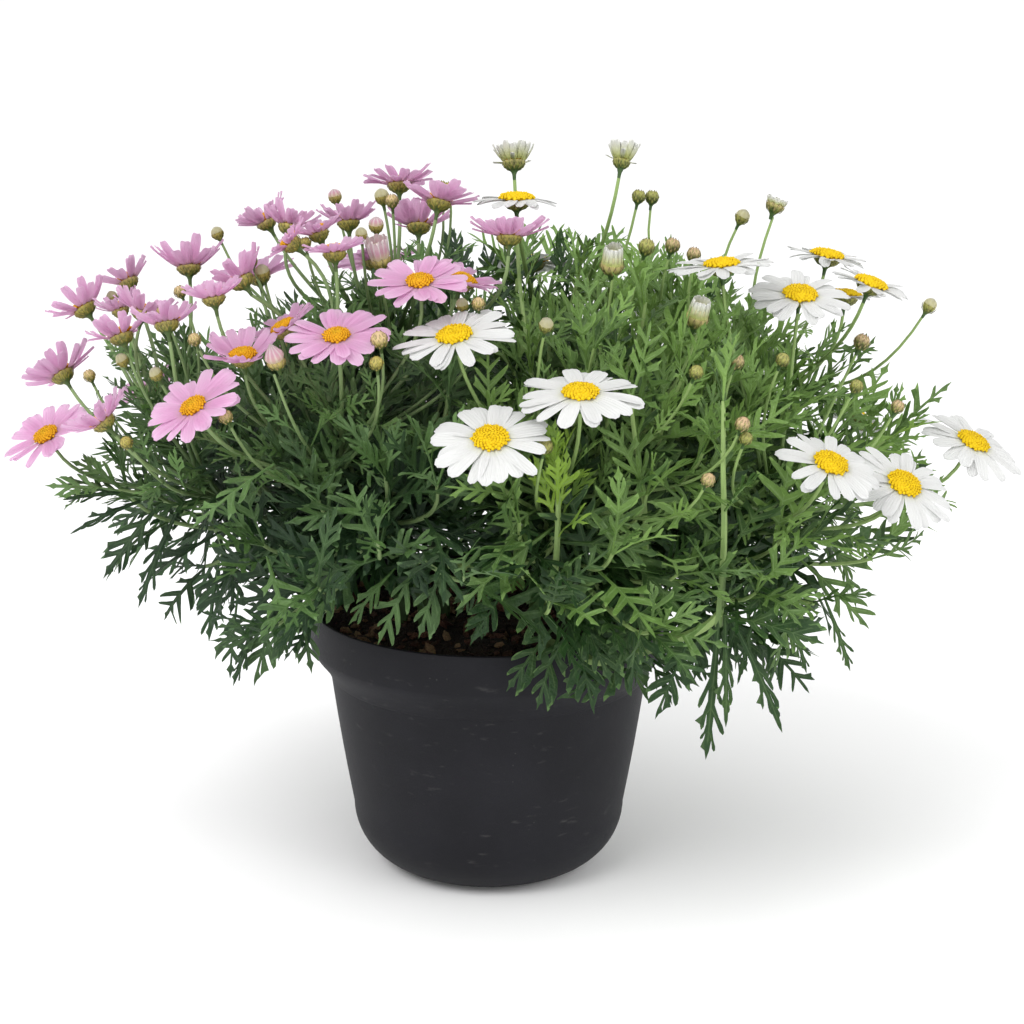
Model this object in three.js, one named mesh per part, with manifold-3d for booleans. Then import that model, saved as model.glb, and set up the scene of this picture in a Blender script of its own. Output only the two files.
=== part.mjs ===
// Potted marguerite daisy: a pink and a white plant in one round grower's pot.
// Millimetres, +Z up. The origin is the middle of the pot's underside, the camera side is -Y.
import * as THREE from 'three'
import { mergeVertices } from 'three/addons/utils/BufferGeometryUtils.js'
import Module from 'manifold-3d'

const wasm = await Module()
wasm.setup()

// Pot
const POT_HEIGHT = 145
const RIM_RADIUS = 95
const RIM_BAND = 21.7
const COLLAR_RADIUS = 84.3
const COLLAR_HEIGHT = 16.3
const WALL = 1.8
const FOOT_RADIUS = 40
const FOOT_INNER = 28
const BASE_FILLET = 34
const BASE_RADIUS = 72.7
const RECESS = 4
const PAD_RADIUS = 9
const POT_SIDES = 24
const DRAIN_COUNT = 6
const DRAIN_RADIUS = 4
const DRAIN_CIRCLE = 18
const HOLE_SIDES = 8
const NOTCH_WIDTH = 20
const NOTCH_DEPTH = 2.2
const NOTCH_COUNT = 3

// Soil
const SOIL_TOP = 133
const SOIL_LUMPS = 2.2
const SOIL_CROWN = 3.5
const STEM_HOLE_DEPTH = 24
const STEM_HOLE_EASE = 0.65
const CLEAR = 0.3

// Leafy stems: hole in the soil, and the point in the bush where the stem ends
const STEM_RADIUS = 3.4
const STEM_END_RADIUS = 1.7
const STEM_STRAIGHT = 9
const STEM_RISE = 30
const STEM_FLAT_SHARE = 0.34
const STEM_SAG = 6
const STEMS = {
  pink_left: { hole: [-46, -8], end: [-152, -52, 226], heart: 52 },
  pink_front: { hole: [-34, -22], end: [-78, -98, 240], heart: 54 },
  pink_middle: { hole: [-24, 4], end: [-52, 6, 268], heart: 54 },
  pink_back: { hole: [-38, 20], end: [-112, 96, 226], heart: 56 },
  white_front: { hole: [24, -18], end: [30, -108, 226], heart: 51 },
  white_right: { hole: [44, -14], end: [138, -64, 206], heart: 46 },
  white_far_right: { hole: [48, 8], end: [140, 58, 232], heart: 48 },
  white_back: { hole: [28, 18], end: [34, 92, 240], heart: 54 }
}

// Foliage mound, as an ellipsoid about its middle, with a smaller leafless heart
const MOUND_MIDDLE = new THREE.Vector3(4, 0, 176)
const MOUND_REACH = new THREE.Vector3(236, 200, 152)
const MOUND_LOWEST = -0.38
const MOUND_HIGHEST = 0.9
const HEART_REACH = new THREE.Vector3(148, 120, 98)
const HEART_FLOOR = 162
const HEART_GAP = 1.4
const HEART_PLACE = 0.9
const HEART_ROUGHNESS = 0.35
const GOLDEN_ANGLE = 2.39996

// Shoots: leafy twigs, and stalks of blooms and buds
const STEM_SIDES = 5
const SHOOT_SIDES = 4
const SHOOT_LENGTH = 95
const SHOOT_ALONG_STEM = 0.1
const SHOOT_START_SHARE = 0.28
const SHOOT_END_SHARE = 0.34
const SHOOT_BENDS = [0, 6, 12, 18, 26, 36, 48, 62]
const SHOOT_ROOM = 1.2
const SAMPLE_STEP = 3
const STALK_RINGS = [0, 0.5]
const TWIG_RINGS = [0, 0.66, 1]
const TWIG_COUNT = 22
const TWIG_RADIUS = 1.5
const TWIG_DEPTH = 26
const BUD_AIM = new THREE.Vector3(0, 0, 60)
const OTHER_NODE_GAP = 1.3
const SAME_NODE_GAP = 0.4

// Leaves
const LEAF_LENGTH = 43
const LEAF_RIB = 1.25
const LEAF_THICKNESS = 1.5
const LEAF_FOOT = 1.8
const LEAF_OPENING = 0.9
const LEAF_TIP_OPENING = 0.15
const LEAF_SWINGS = [0, 0.25, -0.25, 0.5, -0.45]
const LEAF_ROOM = 0.9
const LOBE_PLACES = [0.34, 0.56, 0.77]
const LOBE_LENGTHS = [12, 12.5, 8.5]
const LOBE_WIDTH = 3.2
const LOBE_SLANT = 0.8
const LOBE_RISE = 0.16
const LOBE_OFFSET = 1.6
const RIDGE_OFFSET = 1.4

// Blooms
const RAY_COUNT = 12
const RAY_WIDTH = 8.6
const RAY_THICKNESS = 1.3
const EYE_HEIGHT = 3.6
const CALYX_DEPTH = 6
const NECK_LENGTH = 3
const STALK_RADIUS = 0.85

// Each bloom: place of its middle, lean (degrees round Z), tilt from upright, width, rise of rays
const PINK = { eye: 7.6, calyx: 6.9 }
const WHITE = { eye: 8.6, calyx: 7.4 }
const PINK_BLOOMS = [
  [-222, -60, 250, -142, 32, 46, 12],
  [-222, 0, 268, 142, 43, 39, 38],
  [-189, -95, 267, 172, 40, 36, 45],
  [-139, -145, 286, -139, 33, 48, 12],
  [-118, -116, 304, -107, 15, 34, 45],
  [-154, -5, 326, 103, 22, 36, 50],
  [-210, 6, 302, 151, 41, 33, 50],
  [-190, 32, 311, 141, 33, 28, 55],
  [-175, -32, 308, 51, 24, 32, 48],
  [-190, -6, 304, 155, 22, 23, 66],
  [-183, -60, 302, 134, 29, 32, 48],
  [-158, -81, 313, 115, 24, 32, 48],
  [-122, -68, 332, 151, 41, 33, 46],
  [-133, -99, 330, 141, 14, 30, 48],
  [-115, 10, 347, 164, 31, 28, 55],
  [-101, -20, 350, 65, 24, 29, 50],
  [-97, -70, 351, 174, 50, 26, 50],
  [-72, -2, 349, 108, 17, 30, 48],
  [-85, -44, 351, 155, 22, 27, 50],
  [-75, -84, 349, 116, 11, 30, 45],
  [-47, 40, 361, 95, 22, 36, 35],
  [-25, -30, 364, 67, 27, 38, 38],
  [-36, 2, 346, 90, 28, 32, 50],
  [-33, -111, 339, -105, 17, 46, 15],
  [-13, -82, 334, -7, 19, 36, 30],
  [-72, -132, 317, -104, 18, 50, 10],
  [-100, -85, 311, -173, 29, 36, 30],
  [10, -70, 354, 84, 19, 37, 40],
  [-186, 92, 240, 150, 40, 46, 15],
  [-126, 96, 300, 120, 24, 42, 30],
  [-64, 118, 304, 105, 26, 48, 10],
  [-112, 158, 248, 118, 40, 46, 14]
]
const WHITE_BLOOMS = [
  [-16, -135, 318, -126, 18, 53, 5],
  [1, -175, 278, -95, 27, 55, 0],
  [43, -155, 295, -90, 13, 57, 0],
  [13, 20, 376, 95, 22, 31, 35],
  [69, 25, 376, 65, 24, 23, 58],
  [14, -38, 366, 90, 5, 40, 8],
  [115, -65, 338, 163, 5, 50, 8],
  [155, -55, 321, -77, 16, 50, 5],
  [177, 24, 325, 8, 10, 40, 12],
  [195, -14, 318, -7, 19, 40, 20],
  [164, -130, 254, -53, 27, 50, 0],
  [203, -105, 237, -54, 33, 52, 0],
  [250, -20, 236, -34, 28, 55, 0],
  [189, 42, 300, 64, 11, 38, 25],
  [24, 104, 306, 85, 22, 54, 4],
  [88, 146, 276, 68, 36, 52, 0],
  [146, 106, 258, 50, 30, 54, 2],
  [204, 84, 222, 30, 42, 50, 4]
]

// Each bud: place of its tip, and its width
const PINK_BUDS = [
  [-143, 25, 343, 8], [-81, 30, 362, 9], [-55, -14, 370, 9], [-22, 16, 369, 8],
  [-157, -44, 327, 7], [-143, -118, 318, 8], [-185, -66, 292, 8], [-203, -45, 285, 7],
  [-105, -143, 315, 12], [-53, -146, 312, 10], [-127, -142, 282, 8], [-178, -116, 263, 7],
  [-56, -62, 352, 15]
]
const WHITE_BUDS = [
  [79, 30, 362, 8], [88, 34, 361, 8], [95, -26, 345, 9], [134, 25, 352, 8], [230, 0, 308, 8],
  [192, -34, 298, 8], [120, -118, 306, 8], [123, -148, 276, 8], [62, -84, 350, 14],
  [104, -104, 327, 14], [150, 20, 355, 11]
]

// Leafy shoots seen one by one: over the rim, drooping beside the pot, and upright in front
const HAND_SHOOTS = [
  { stem: 'white_right', tip: [112, -104, 116] },
  { stem: 'white_right', tip: [150, -86, 128] },
  { stem: 'white_right', tip: [120, -148, 232] },
  { stem: 'white_front', tip: [34, -150, 226] },
  { stem: 'white_front', tip: [52, -122, 146] },
  { stem: 'pink_left', tip: [-118, -72, 122] },
  { stem: 'pink_left', tip: [-192, -62, 176] },
  { stem: 'pink_front', tip: [-52, -132, 182] }
]

const UP = new THREE.Vector3(0, 0, 1)

let drawState = 20731
function draw() {
  drawState = (drawState * 16807) % 2147483647
  return drawState / 2147483647
}

function vector(values) {
  return new THREE.Vector3(values[0], values[1], values[2])
}

// A closed solid from a list of points and the triangles that join them
function solidOf(points, triangles) {
  const vertProperties = new Float32Array(points.flatMap((p) => [p.x, p.y, p.z]))
  const triVerts = new Uint32Array(triangles.flat())
  return new wasm.Manifold(new wasm.Mesh({ numProp: 3, vertProperties, triVerts }))
}

function solidFromGeometry(geometry) {
  geometry.deleteAttribute('normal')
  geometry.deleteAttribute('uv')
  const merged = mergeVertices(geometry, 1e-4)
  const vertProperties = new Float32Array(merged.attributes.position.array)
  const triVerts = new Uint32Array(merged.index.array)
  return new wasm.Manifold(new wasm.Mesh({ numProp: 3, vertProperties, triVerts }))
}

function geometryOf(solid) {
  const mesh = solid.getMesh()
  const positions = new Float32Array(mesh.numVert * 3)
  for (let v = 0; v < mesh.numVert; v++) {
    for (let k = 0; k < 3; k++) positions[v * 3 + k] = mesh.vertProperties[v * mesh.numProp + k]
  }
  const geometry = new THREE.BufferGeometry()
  geometry.setAttribute('position', new THREE.BufferAttribute(positions, 3))
  geometry.setIndex(new THREE.BufferAttribute(new Uint32Array(mesh.triVerts), 1))
  geometry.computeVertexNormals()
  return geometry
}

// The biggest body of a solid: loose scraps and sealed hollows are left out
function biggestBody(solid) {
  return solid.decompose().reduce((best, body) => (body.volume() > best.volume() ? body : best))
}

function turned(profile, sides) {
  const geometry = new THREE.LatheGeometry(profile, sides)
  geometry.rotateX(Math.PI / 2)
  return solidFromGeometry(geometry)
}

function upright(radius, low, high, sides, x, y) {
  const geometry = new THREE.CylinderGeometry(radius, radius, high - low, sides)
  geometry.rotateX(Math.PI / 2)
  geometry.translate(x, y, (low + high) / 2)
  return solidFromGeometry(geometry)
}

// Half profile of the pot's outside: pad, recess, foot ring, round shoulder, wall, collar, rim
function potOutside() {
  const points = [[0, 0], [PAD_RADIUS, 0], [PAD_RADIUS + 0.8, RECESS]]
  points.push([FOOT_INNER - 0.8, RECESS], [FOOT_INNER, 0], [FOOT_RADIUS, 0])
  const arcSteps = 4
  for (let i = 1; i <= arcSteps; i++) {
    const angle = (i / arcSteps) * (Math.PI / 2)
    const across = FOOT_RADIUS + (BASE_RADIUS - FOOT_RADIUS) * Math.sin(angle)
    points.push([across, BASE_FILLET * (1 - Math.cos(angle))])
  }
  points.push([COLLAR_RADIUS, POT_HEIGHT - RIM_BAND - COLLAR_HEIGHT])
  points.push([RIM_RADIUS, POT_HEIGHT - RIM_BAND], [RIM_RADIUS, POT_HEIGHT])
  return points
}

// Half profile of the pot's inside, from the rim down to the floor
function potInside(gap) {
  const points = [[RIM_RADIUS - WALL - gap, POT_HEIGHT]]
  points.push([RIM_RADIUS - WALL - gap, POT_HEIGHT - RIM_BAND])
  points.push([COLLAR_RADIUS - WALL - gap, POT_HEIGHT - RIM_BAND - COLLAR_HEIGHT])
  points.push([BASE_RADIUS - WALL - gap, BASE_FILLET])
  points.push([BASE_RADIUS * 0.8 - WALL - gap, BASE_FILLET * 0.42 + gap])
  points.push([FOOT_RADIUS - WALL, RECESS + WALL + gap], [0, RECESS + WALL + gap])
  return points
}

function profileOf(points) {
  return points.map(([x, y]) => new THREE.Vector2(x, y))
}

function makePot() {
  let pot = turned(profileOf([...potOutside(), ...potInside(0)]), POT_SIDES)
  for (let i = 0; i < DRAIN_COUNT; i++) {
    const angle = ((i + 0.5) / DRAIN_COUNT) * Math.PI * 2
    const x = DRAIN_CIRCLE * Math.cos(angle)
    const y = DRAIN_CIRCLE * Math.sin(angle)
    pot = pot.subtract(upright(DRAIN_RADIUS, RECESS - 1, RECESS + WALL + 1, HOLE_SIDES, x, y))
  }
  for (let i = 0; i < NOTCH_COUNT; i++) {
    const notch = new THREE.BoxGeometry(NOTCH_WIDTH, FOOT_RADIUS, NOTCH_DEPTH * 2)
    notch.translate(0, -(FOOT_INNER - 2 + FOOT_RADIUS / 2), 0)
    notch.rotateZ((i / NOTCH_COUNT) * Math.PI * 2)
    pot = pot.subtract(solidFromGeometry(notch))
  }
  return pot
}

// Height of the soil's lumpy surface
function soilHeight(x, y) {
  const wave = Math.sin(x * 0.09 + 1.3) * Math.cos(y * 0.11 - 0.4) + 0.6 * Math.sin(x * 0.05 - y * 0.16)
  const crown = SOIL_CROWN * (1 - (x * x + y * y) / (RIM_RADIUS * RIM_RADIUS))
  return SOIL_TOP + crown + SOIL_LUMPS * wave
}

function makeSoil() {
  const inside = potInside(CLEAR).slice(1).reverse()
  const wallRadius = RIM_RADIUS - WALL - CLEAR
  const top = [1, 0.72, 0.38, 0].map((f) => [wallRadius * f, SOIL_TOP])
  const geometry = new THREE.LatheGeometry(profileOf([...inside, ...top]), POT_SIDES)
  geometry.rotateX(Math.PI / 2)
  const position = geometry.attributes.position
  for (let i = 0; i < position.count; i++) {
    if (position.getZ(i) === SOIL_TOP) position.setZ(i, soilHeight(position.getX(i), position.getY(i)))
  }
  let soil = solidFromGeometry(geometry)
  for (const { hole } of Object.values(STEMS)) {
    const radius = STEM_RADIUS + STEM_HOLE_EASE
    soil = soil.subtract(upright(radius, SOIL_TOP - STEM_HOLE_DEPTH, POT_HEIGHT, HOLE_SIDES, ...hole))
  }
  return soil
}

// Direction that leans from upright by `tilt` towards the compass angle `lean`, in degrees
function axisOf(lean, tilt) {
  const leanAngle = THREE.MathUtils.degToRad(lean)
  const tiltAngle = THREE.MathUtils.degToRad(tilt)
  const flat = Math.sin(tiltAngle)
  return new THREE.Vector3(flat * Math.cos(leanAngle), flat * Math.sin(leanAngle), Math.cos(tiltAngle))
}

// Frame whose z is the given direction
function frameAlong(direction) {
  const helper = Math.abs(direction.z) > 0.9 ? new THREE.Vector3(1, 0, 0) : UP
  const x = new THREE.Vector3().crossVectors(helper, direction).normalize()
  const y = new THREE.Vector3().crossVectors(direction, x)
  return { x, y, z: direction.clone() }
}

function placed(origin, frame, x, y, z) {
  return origin.clone().addScaledVector(frame.x, x).addScaledVector(frame.y, y).addScaledVector(frame.z, z)
}

// What already stands somewhere, as small balls in a grid of cells, each with its owner
const CELL = 12
const standing = new Map()

function cellKey(x, y, z) {
  return `${Math.floor(x / CELL)},${Math.floor(y / CELL)},${Math.floor(z / CELL)}`
}

function stand(point, radius, node, part) {
  const key = cellKey(point.x, point.y, point.z)
  if (!standing.has(key)) standing.set(key, [])
  standing.get(key).push({ point: point.clone(), radius, node, part })
}

function ballsNear(point) {
  const found = []
  for (const dx of [-CELL, 0, CELL]) {
    for (const dy of [-CELL, 0, CELL]) {
      for (const dz of [-CELL, 0, CELL]) {
        found.push(...(standing.get(cellKey(point.x + dx, point.y + dy, point.z + dz)) ?? []))
      }
    }
  }
  return found
}

// True when a ball keeps its distance from other nodes and from other parts of its own node
function isClear(point, radius, node, part) {
  return ballsNear(point).every((ball) => {
    if (ball.node === node && ball.part === part) return true
    const gap = ball.node === node ? SAME_NODE_GAP : OTHER_NODE_GAP
    return ball.point.distanceTo(point) > ball.radius + radius + gap
  })
}

function overPot(point) {
  return point.z < POT_HEIGHT + 5 && Math.hypot(point.x, point.y) < RIM_RADIUS + 4
}

function steps(count, from = 0, to = 1) {
  return Array.from({ length: count + 1 }, (_, i) => from + ((to - from) * i) / count)
}

// Rays and raised eye of one bloom in its own frame: rays are thin wedges round the eye
function makeBloom(values, kind) {
  const [x, y, z, lean, tilt, width, rise] = values
  const frame = frameAlong(axisOf(lean, tilt))
  const origin = new THREE.Vector3(x, y, z)
  const lift = (width / 2 - kind.eye) * Math.tan(THREE.MathUtils.degToRad(rise))
  const pitch = (Math.PI * 2) / RAY_COUNT
  const halfWidth = Math.min(RAY_WIDTH, 0.86 * pitch * (width / 2)) / 2
  const points = [placed(origin, frame, 0, 0, EYE_HEIGHT), placed(origin, frame, 0, 0, 0)]
  for (let i = 0; i < RAY_COUNT; i++) {
    const valley = (i - 0.5) * pitch
    const [vx, vy] = [kind.eye * Math.cos(valley), kind.eye * Math.sin(valley)]
    points.push(placed(origin, frame, vx, vy, RAY_THICKNESS), placed(origin, frame, vx, vy, 0))
    for (const side of [-halfWidth, halfWidth]) {
      const sx = (width / 2) * Math.cos(i * pitch) - side * Math.sin(i * pitch)
      const sy = (width / 2) * Math.sin(i * pitch) + side * Math.cos(i * pitch)
      points.push(placed(origin, frame, sx, sy, lift + RAY_THICKNESS / 2))
    }
  }
  const triangles = []
  for (let i = 0; i < RAY_COUNT; i++) {
    const [top, base, left, right] = [2, 3, 4, 5].map((k) => k + 4 * i)
    const [topNext, baseNext, leftNext] = [2, 3, 4].map((k) => k + 4 * ((i + 1) % RAY_COUNT))
    triangles.push([0, top, topNext], [top, left, right], [top, right, topNext])
    triangles.push([1, baseNext, base], [base, right, left], [base, baseNext, right])
    triangles.push([topNext, right, baseNext], [topNext, baseNext, leftNext])
  }
  for (const f of steps(4)) {
    const radius = kind.eye + (width / 2 - kind.eye) * f
    for (const angle of steps(RAY_COUNT * 2, 0, Math.PI * 2)) {
      const point = placed(origin, frame, radius * Math.cos(angle), radius * Math.sin(angle), lift * f + 0.6)
      stand(point, 2.2, values, 'rays')
    }
  }
  stand(placed(origin, frame, 0, 0, 1), 5, values, 'eye')
  return solidOf(points, triangles)
}

// Stem from just above the soil, upright at first, then out into its part of the bush
function stemCurve({ hole, end }) {
  const foot = new THREE.Vector3(hole[0], hole[1], SOIL_TOP + STEM_STRAIGHT)
  const tip = vector(end)
  const above = foot.clone().addScaledVector(UP, STEM_RISE)
  const back = tip.clone().lerp(foot, STEM_FLAT_SHARE).addScaledVector(UP, -STEM_SAG)
  return new THREE.CubicBezierCurve3(foot, above, back, tip)
}

const stemNames = Object.keys(STEMS)
const stemCurves = Object.fromEntries(stemNames.map((name) => [name, stemCurve(STEMS[name])]))
const heartMiddles = Object.fromEntries(
  stemNames.map((name) => [name, stemCurves[name].getPoint(HEART_PLACE)])
)

// How deep a point lies inside a stem's share of the heart: the least of the distances to its bounds
function heartDepth(point, name) {
  const middle = heartMiddles[name]
  const scaled = point.clone().sub(MOUND_MIDDLE).divide(HEART_REACH)
  const toBounds = [(1 - scaled.length()) * HEART_REACH.z, point.z - HEART_FLOOR]
  toBounds.push(STEMS[name].heart - point.distanceTo(middle))
  for (const other of stemNames) {
    if (other === name) continue
    const towards = heartMiddles[other].clone().sub(middle)
    const half = towards.length() / 2
    toBounds.push(half - point.clone().sub(middle).dot(towards.normalize()))
  }
  return Math.min(...toBounds)
}

function inOtherHeart(point, name) {
  return stemNames.some((other) => other !== name && heartDepth(point, other) > -OTHER_NODE_GAP)
}

// Rough faceted clump where a stem forks, pushed out until it meets the bounds of its share
function makeHeart(name) {
  const middle = heartMiddles[name]
  const ball = new THREE.IcosahedronGeometry(1, 1)
  const points = ball.attributes.position
  const reaches = new Map()
  for (let i = 0; i < points.count; i++) {
    const direction = new THREE.Vector3().fromBufferAttribute(points, i)
    const key = direction.toArray().map((v) => v.toFixed(4)).join()
    if (!reaches.has(key)) {
      let reach = 3
      while (heartDepth(middle.clone().addScaledVector(direction, reach + 1), name) > HEART_GAP) reach += 1
      reaches.set(key, reach * (1 - HEART_ROUGHNESS * draw()))
    }
    const point = middle.clone().addScaledVector(direction, reaches.get(key))
    points.setXYZ(i, point.x, point.y, point.z)
  }
  return solidFromGeometry(ball)
}

// Name of the stem of one colour whose end lies nearest to a point
function nearestStem(point, colour) {
  const away = (name) => vector(STEMS[name].end).distanceTo(point)
  return stemNames.filter((name) => name.startsWith(colour)).reduce((a, b) => (away(b) < away(a) ? b : a))
}

// Where along its stem a shoot to this point forks off, inside the heart
function forkAt(point, name) {
  const curve = stemCurves[name]
  const inside = steps(20, 0.5, 1).filter((f) => heartDepth(curve.getPoint(f), name) > 4)
  const away = (f) => Math.abs(curve.getPoint(f).distanceTo(point) - SHOOT_LENGTH)
  return inside.reduce((a, b) => (away(b) < away(a) ? b : a))
}

// Points a few millimetres apart on the straight stretches between a shoot's rings
function alongRings(curve, fractions) {
  const corners = fractions.map((f) => curve.getPoint(f))
  return corners.slice(1).flatMap((corner, i) => {
    const count = Math.ceil(corner.distanceTo(corners[i]) / SAMPLE_STEP)
    return steps(count).map((f) => corners[i].clone().lerp(corner, f))
  })
}

// A curved shoot from its stem to a tip that it meets along `axis`, bent aside until the straight
// stretches between its rings are clear
function shootCurve(name, tip, axis, part, fractions) {
  const fork = forkAt(tip, name)
  const start = stemCurves[name].getPoint(fork)
  const along = stemCurves[name].getTangent(fork)
  const length = start.distanceTo(tip)
  const towards = tip.clone().sub(start).normalize()
  const side = new THREE.Vector3().crossVectors(towards, UP).normalize()
  const over = new THREE.Vector3().crossVectors(side, towards)
  let best = null
  for (const reach of SHOOT_BENDS) {
    for (const angle of steps(9, 0, Math.PI * 1.8)) {
      const shift = side.clone().multiplyScalar(reach * Math.cos(angle))
      shift.addScaledVector(over, reach * Math.sin(angle))
      const first = start.clone().addScaledVector(along, length * SHOOT_ALONG_STEM)
      first.addScaledVector(towards, length * SHOOT_START_SHARE)
      const second = tip.clone().addScaledVector(axis, -length * SHOOT_END_SHARE)
      const curve = new THREE.CubicBezierCurve3(start, first.add(shift), second.add(shift), tip)
      const outside = alongRings(curve, fractions).filter((p) => heartDepth(p, name) < 0)
      const faults = outside.filter((p) => {
        return overPot(p) || inOtherHeart(p, name) || !isClear(p, SHOOT_ROOM, name, part)
      }).length
      if (!best || faults < best.faults) best = { curve, faults, outside }
      if (faults === 0) break
    }
    if (best.faults === 0) break
  }
  if (best.faults > 0) return null
  best.outside.forEach((p) => stand(p, SHOOT_ROOM, name, part))
  return best.curve
}

// Outline of a lobed leaf on either side of its rib: for each lobe its start, tip and end
function leafLobes(length, fullSide) {
  return [-1, 1].map((side) => {
    const lobes = LOBE_PLACES.map((place, k) => {
      const start = place * length + (side === fullSide ? LOBE_OFFSET : 0)
      const reach = LOBE_LENGTHS[k]
      const tip = [start + reach * Math.cos(LOBE_SLANT), side * (LEAF_RIB + reach * Math.sin(LOBE_SLANT))]
      return [[start, side * LEAF_RIB], tip, [start + LOBE_WIDTH, side * LEAF_RIB]]
    })
    return side === fullSide ? lobes : lobes.slice(0, -1)
  })
}

// Leaf that grows out of a four-cornered opening (left low, right low, right high, left high).
// It is an arched lens: both faces share the outline and stand apart along the rib.
function growLeaf(points, triangles, corners, direction, length, droop, fullSide) {
  const root = corners.reduce((sum, c) => sum.add(points[c]), new THREE.Vector3()).multiplyScalar(0.25)
  const across = points[corners[1]].clone().sub(points[corners[0]])
  across.addScaledVector(direction, -across.dot(direction)).normalize()
  const face = new THREE.Vector3().crossVectors(direction, across)
  const upper = points[corners[3]].clone().sub(points[corners[0]])
  if (face.dot(upper) < 0) face.negate()
  const add = (along, lateral, above) => {
    const sag = droop * length * (along / length) ** 2
    const point = root.clone().addScaledVector(direction, along).addScaledVector(across, lateral)
    point.addScaledVector(face, above + LOBE_RISE * Math.abs(lateral))
    points.push(point.add(new THREE.Vector3(0, 0, -sag)))
    return points.length - 1
  }
  const [leftLow, rightLow, rightHigh, leftHigh] = corners
  const ridgeOf = (above) => LOBE_PLACES.map((place) => add(place * length + RIDGE_OFFSET, 0, above))
  const ridges = [ridgeOf(LEAF_THICKNESS / 2), ridgeOf(-LEAF_THICKNESS / 2)]
  const tip = add(length, 0, 0)
  const sides = leafLobes(length, fullSide).map((lobes) => {
    return lobes.map((lobe) => lobe.map(([along, lateral]) => add(along, lateral, 0)))
  })
  triangles.push([leftHigh, leftLow, sides[0][0][0]], [rightLow, rightHigh, sides[1][0][0]])
  triangles.push([rightHigh, leftHigh, ridges[0][0]], [leftLow, rightLow, ridges[1][0]])
  sides.forEach((lobes, s) => {
    ridges.forEach((ridge, r) => {
      const face3 = (a, b, c) => triangles.push(s === r ? [a, b, c] : [a, c, b])
      face3(ridge[0], [[leftHigh, leftLow], [rightHigh, rightLow]][s][r], lobes[0][0])
      lobes.forEach(([start, end, back], k) => {
        if (k > 0) {
          face3(ridge[k - 1], lobes[k - 1][2], start)
          face3(ridge[k - 1], start, ridge[k])
        }
        face3(ridge[k], start, end)
        face3(ridge[k], end, back)
      })
      const last = lobes.length - 1
      face3(ridge[last], lobes[last][2], tip)
      if (last < ridge.length - 1) face3(ridge[last], tip, ridge[last + 1])
    })
  })
}

// Points that stand for a leaf when its room is tested: its own points and others halfway inwards
function leafSamples(points, first, root) {
  const own = points.slice(first)
  const ribs = own.slice(0, LOBE_PLACES.length)
  const samples = []
  for (const point of own) {
    const rib = ribs.reduce((a, b) => (a.distanceTo(point) < b.distanceTo(point) ? a : b))
    samples.push(point, point.clone().lerp(rib, 0.5))
  }
  samples.push(root.clone().lerp(ribs[0], 0.5))
  return samples.filter((p) => p.distanceTo(root) > 5)
}

// Tube through rings of given middle, direction and radius. Where a ring carries leaves, the short
// stretch of wall before the next ring opens into them, and the last ring may open into a leaf too.
function shootSolid(rings, sides, name, part) {
  const points = []
  const triangles = []
  let frame = frameAlong(rings[0].direction)
  for (const ring of rings) {
    const x = frame.x.clone().addScaledVector(ring.direction, -frame.x.dot(ring.direction)).normalize()
    frame = { x, y: new THREE.Vector3().crossVectors(ring.direction, x), z: ring.direction }
    for (let s = 0; s < sides; s++) {
      const angle = ((s + (ring.turn ?? 0)) / sides) * Math.PI * 2
      points.push(placed(ring.middle, frame, ring.radius * Math.cos(angle), ring.radius * Math.sin(angle), 0))
    }
  }
  const tryLeaf = (corners, outward, along, open) => {
    const first = points.length
    const before = triangles.length
    const root = corners.reduce((sum, c) => sum.add(points[c]), new THREE.Vector3()).multiplyScalar(0.25)
    for (const swing of LEAF_SWINGS) {
      const angle = open + swing
      const direction = along.clone().multiplyScalar(Math.cos(angle))
      direction.addScaledVector(outward, Math.sin(angle))
      const length = LEAF_LENGTH * (0.88 + 0.26 * draw())
      growLeaf(points, triangles, corners, direction, length, 0.1 + 0.14 * draw(), draw() < 0.5 ? -1 : 1)
      const samples = leafSamples(points, first, root)
      const hasRoom = (p) => !overPot(p) && !inOtherHeart(p, name) && isClear(p, LEAF_ROOM, name, part)
      if (samples.every(hasRoom)) {
        samples.forEach((p) => stand(p, LEAF_ROOM, name, `${part} leaf ${leafCount}`))
        leafCount += 1
        return true
      }
      points.length = first
      triangles.length = before
    }
    return false
  }
  const wallOrder = steps(sides - 1, 0, sides - 1).sort((a, b) => (a % 2) - (b % 2))
  for (let r = 1; r < rings.length; r++) {
    const { leaves = 0, direction } = rings[r - 1]
    let grown = 0
    for (const s of wallOrder) {
      const next = (s + 1) % sides
      const corners = [(r - 1) * sides + s, (r - 1) * sides + next, r * sides + next, r * sides + s]
      const outward = points[corners[0]].clone().add(points[corners[1]]).multiplyScalar(0.5)
      outward.sub(rings[r - 1].middle).normalize()
      if (grown < leaves && tryLeaf(corners, outward, direction, LEAF_OPENING)) {
        grown += 1
        continue
      }
      triangles.push([corners[0], corners[1], corners[2]], [corners[0], corners[2], corners[3]])
    }
  }
  const last = (rings.length - 1) * sides
  triangles.push([0, 2, 1])
  for (let s = 2; s < sides - 1; s++) triangles.push([0, s + 1, s])
  const end = rings[rings.length - 1]
  const cap = [last, last + 1, last + 2, last + 3]
  const sideways = points[last].clone().sub(end.middle).normalize()
  if (!(end.leaves && tryLeaf(cap, sideways, end.direction, LEAF_TIP_OPENING))) {
    for (let s = 1; s < sides - 1; s++) triangles.push([last, last + s, last + s + 1])
  }
  return solidOf(points, triangles)
}

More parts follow.
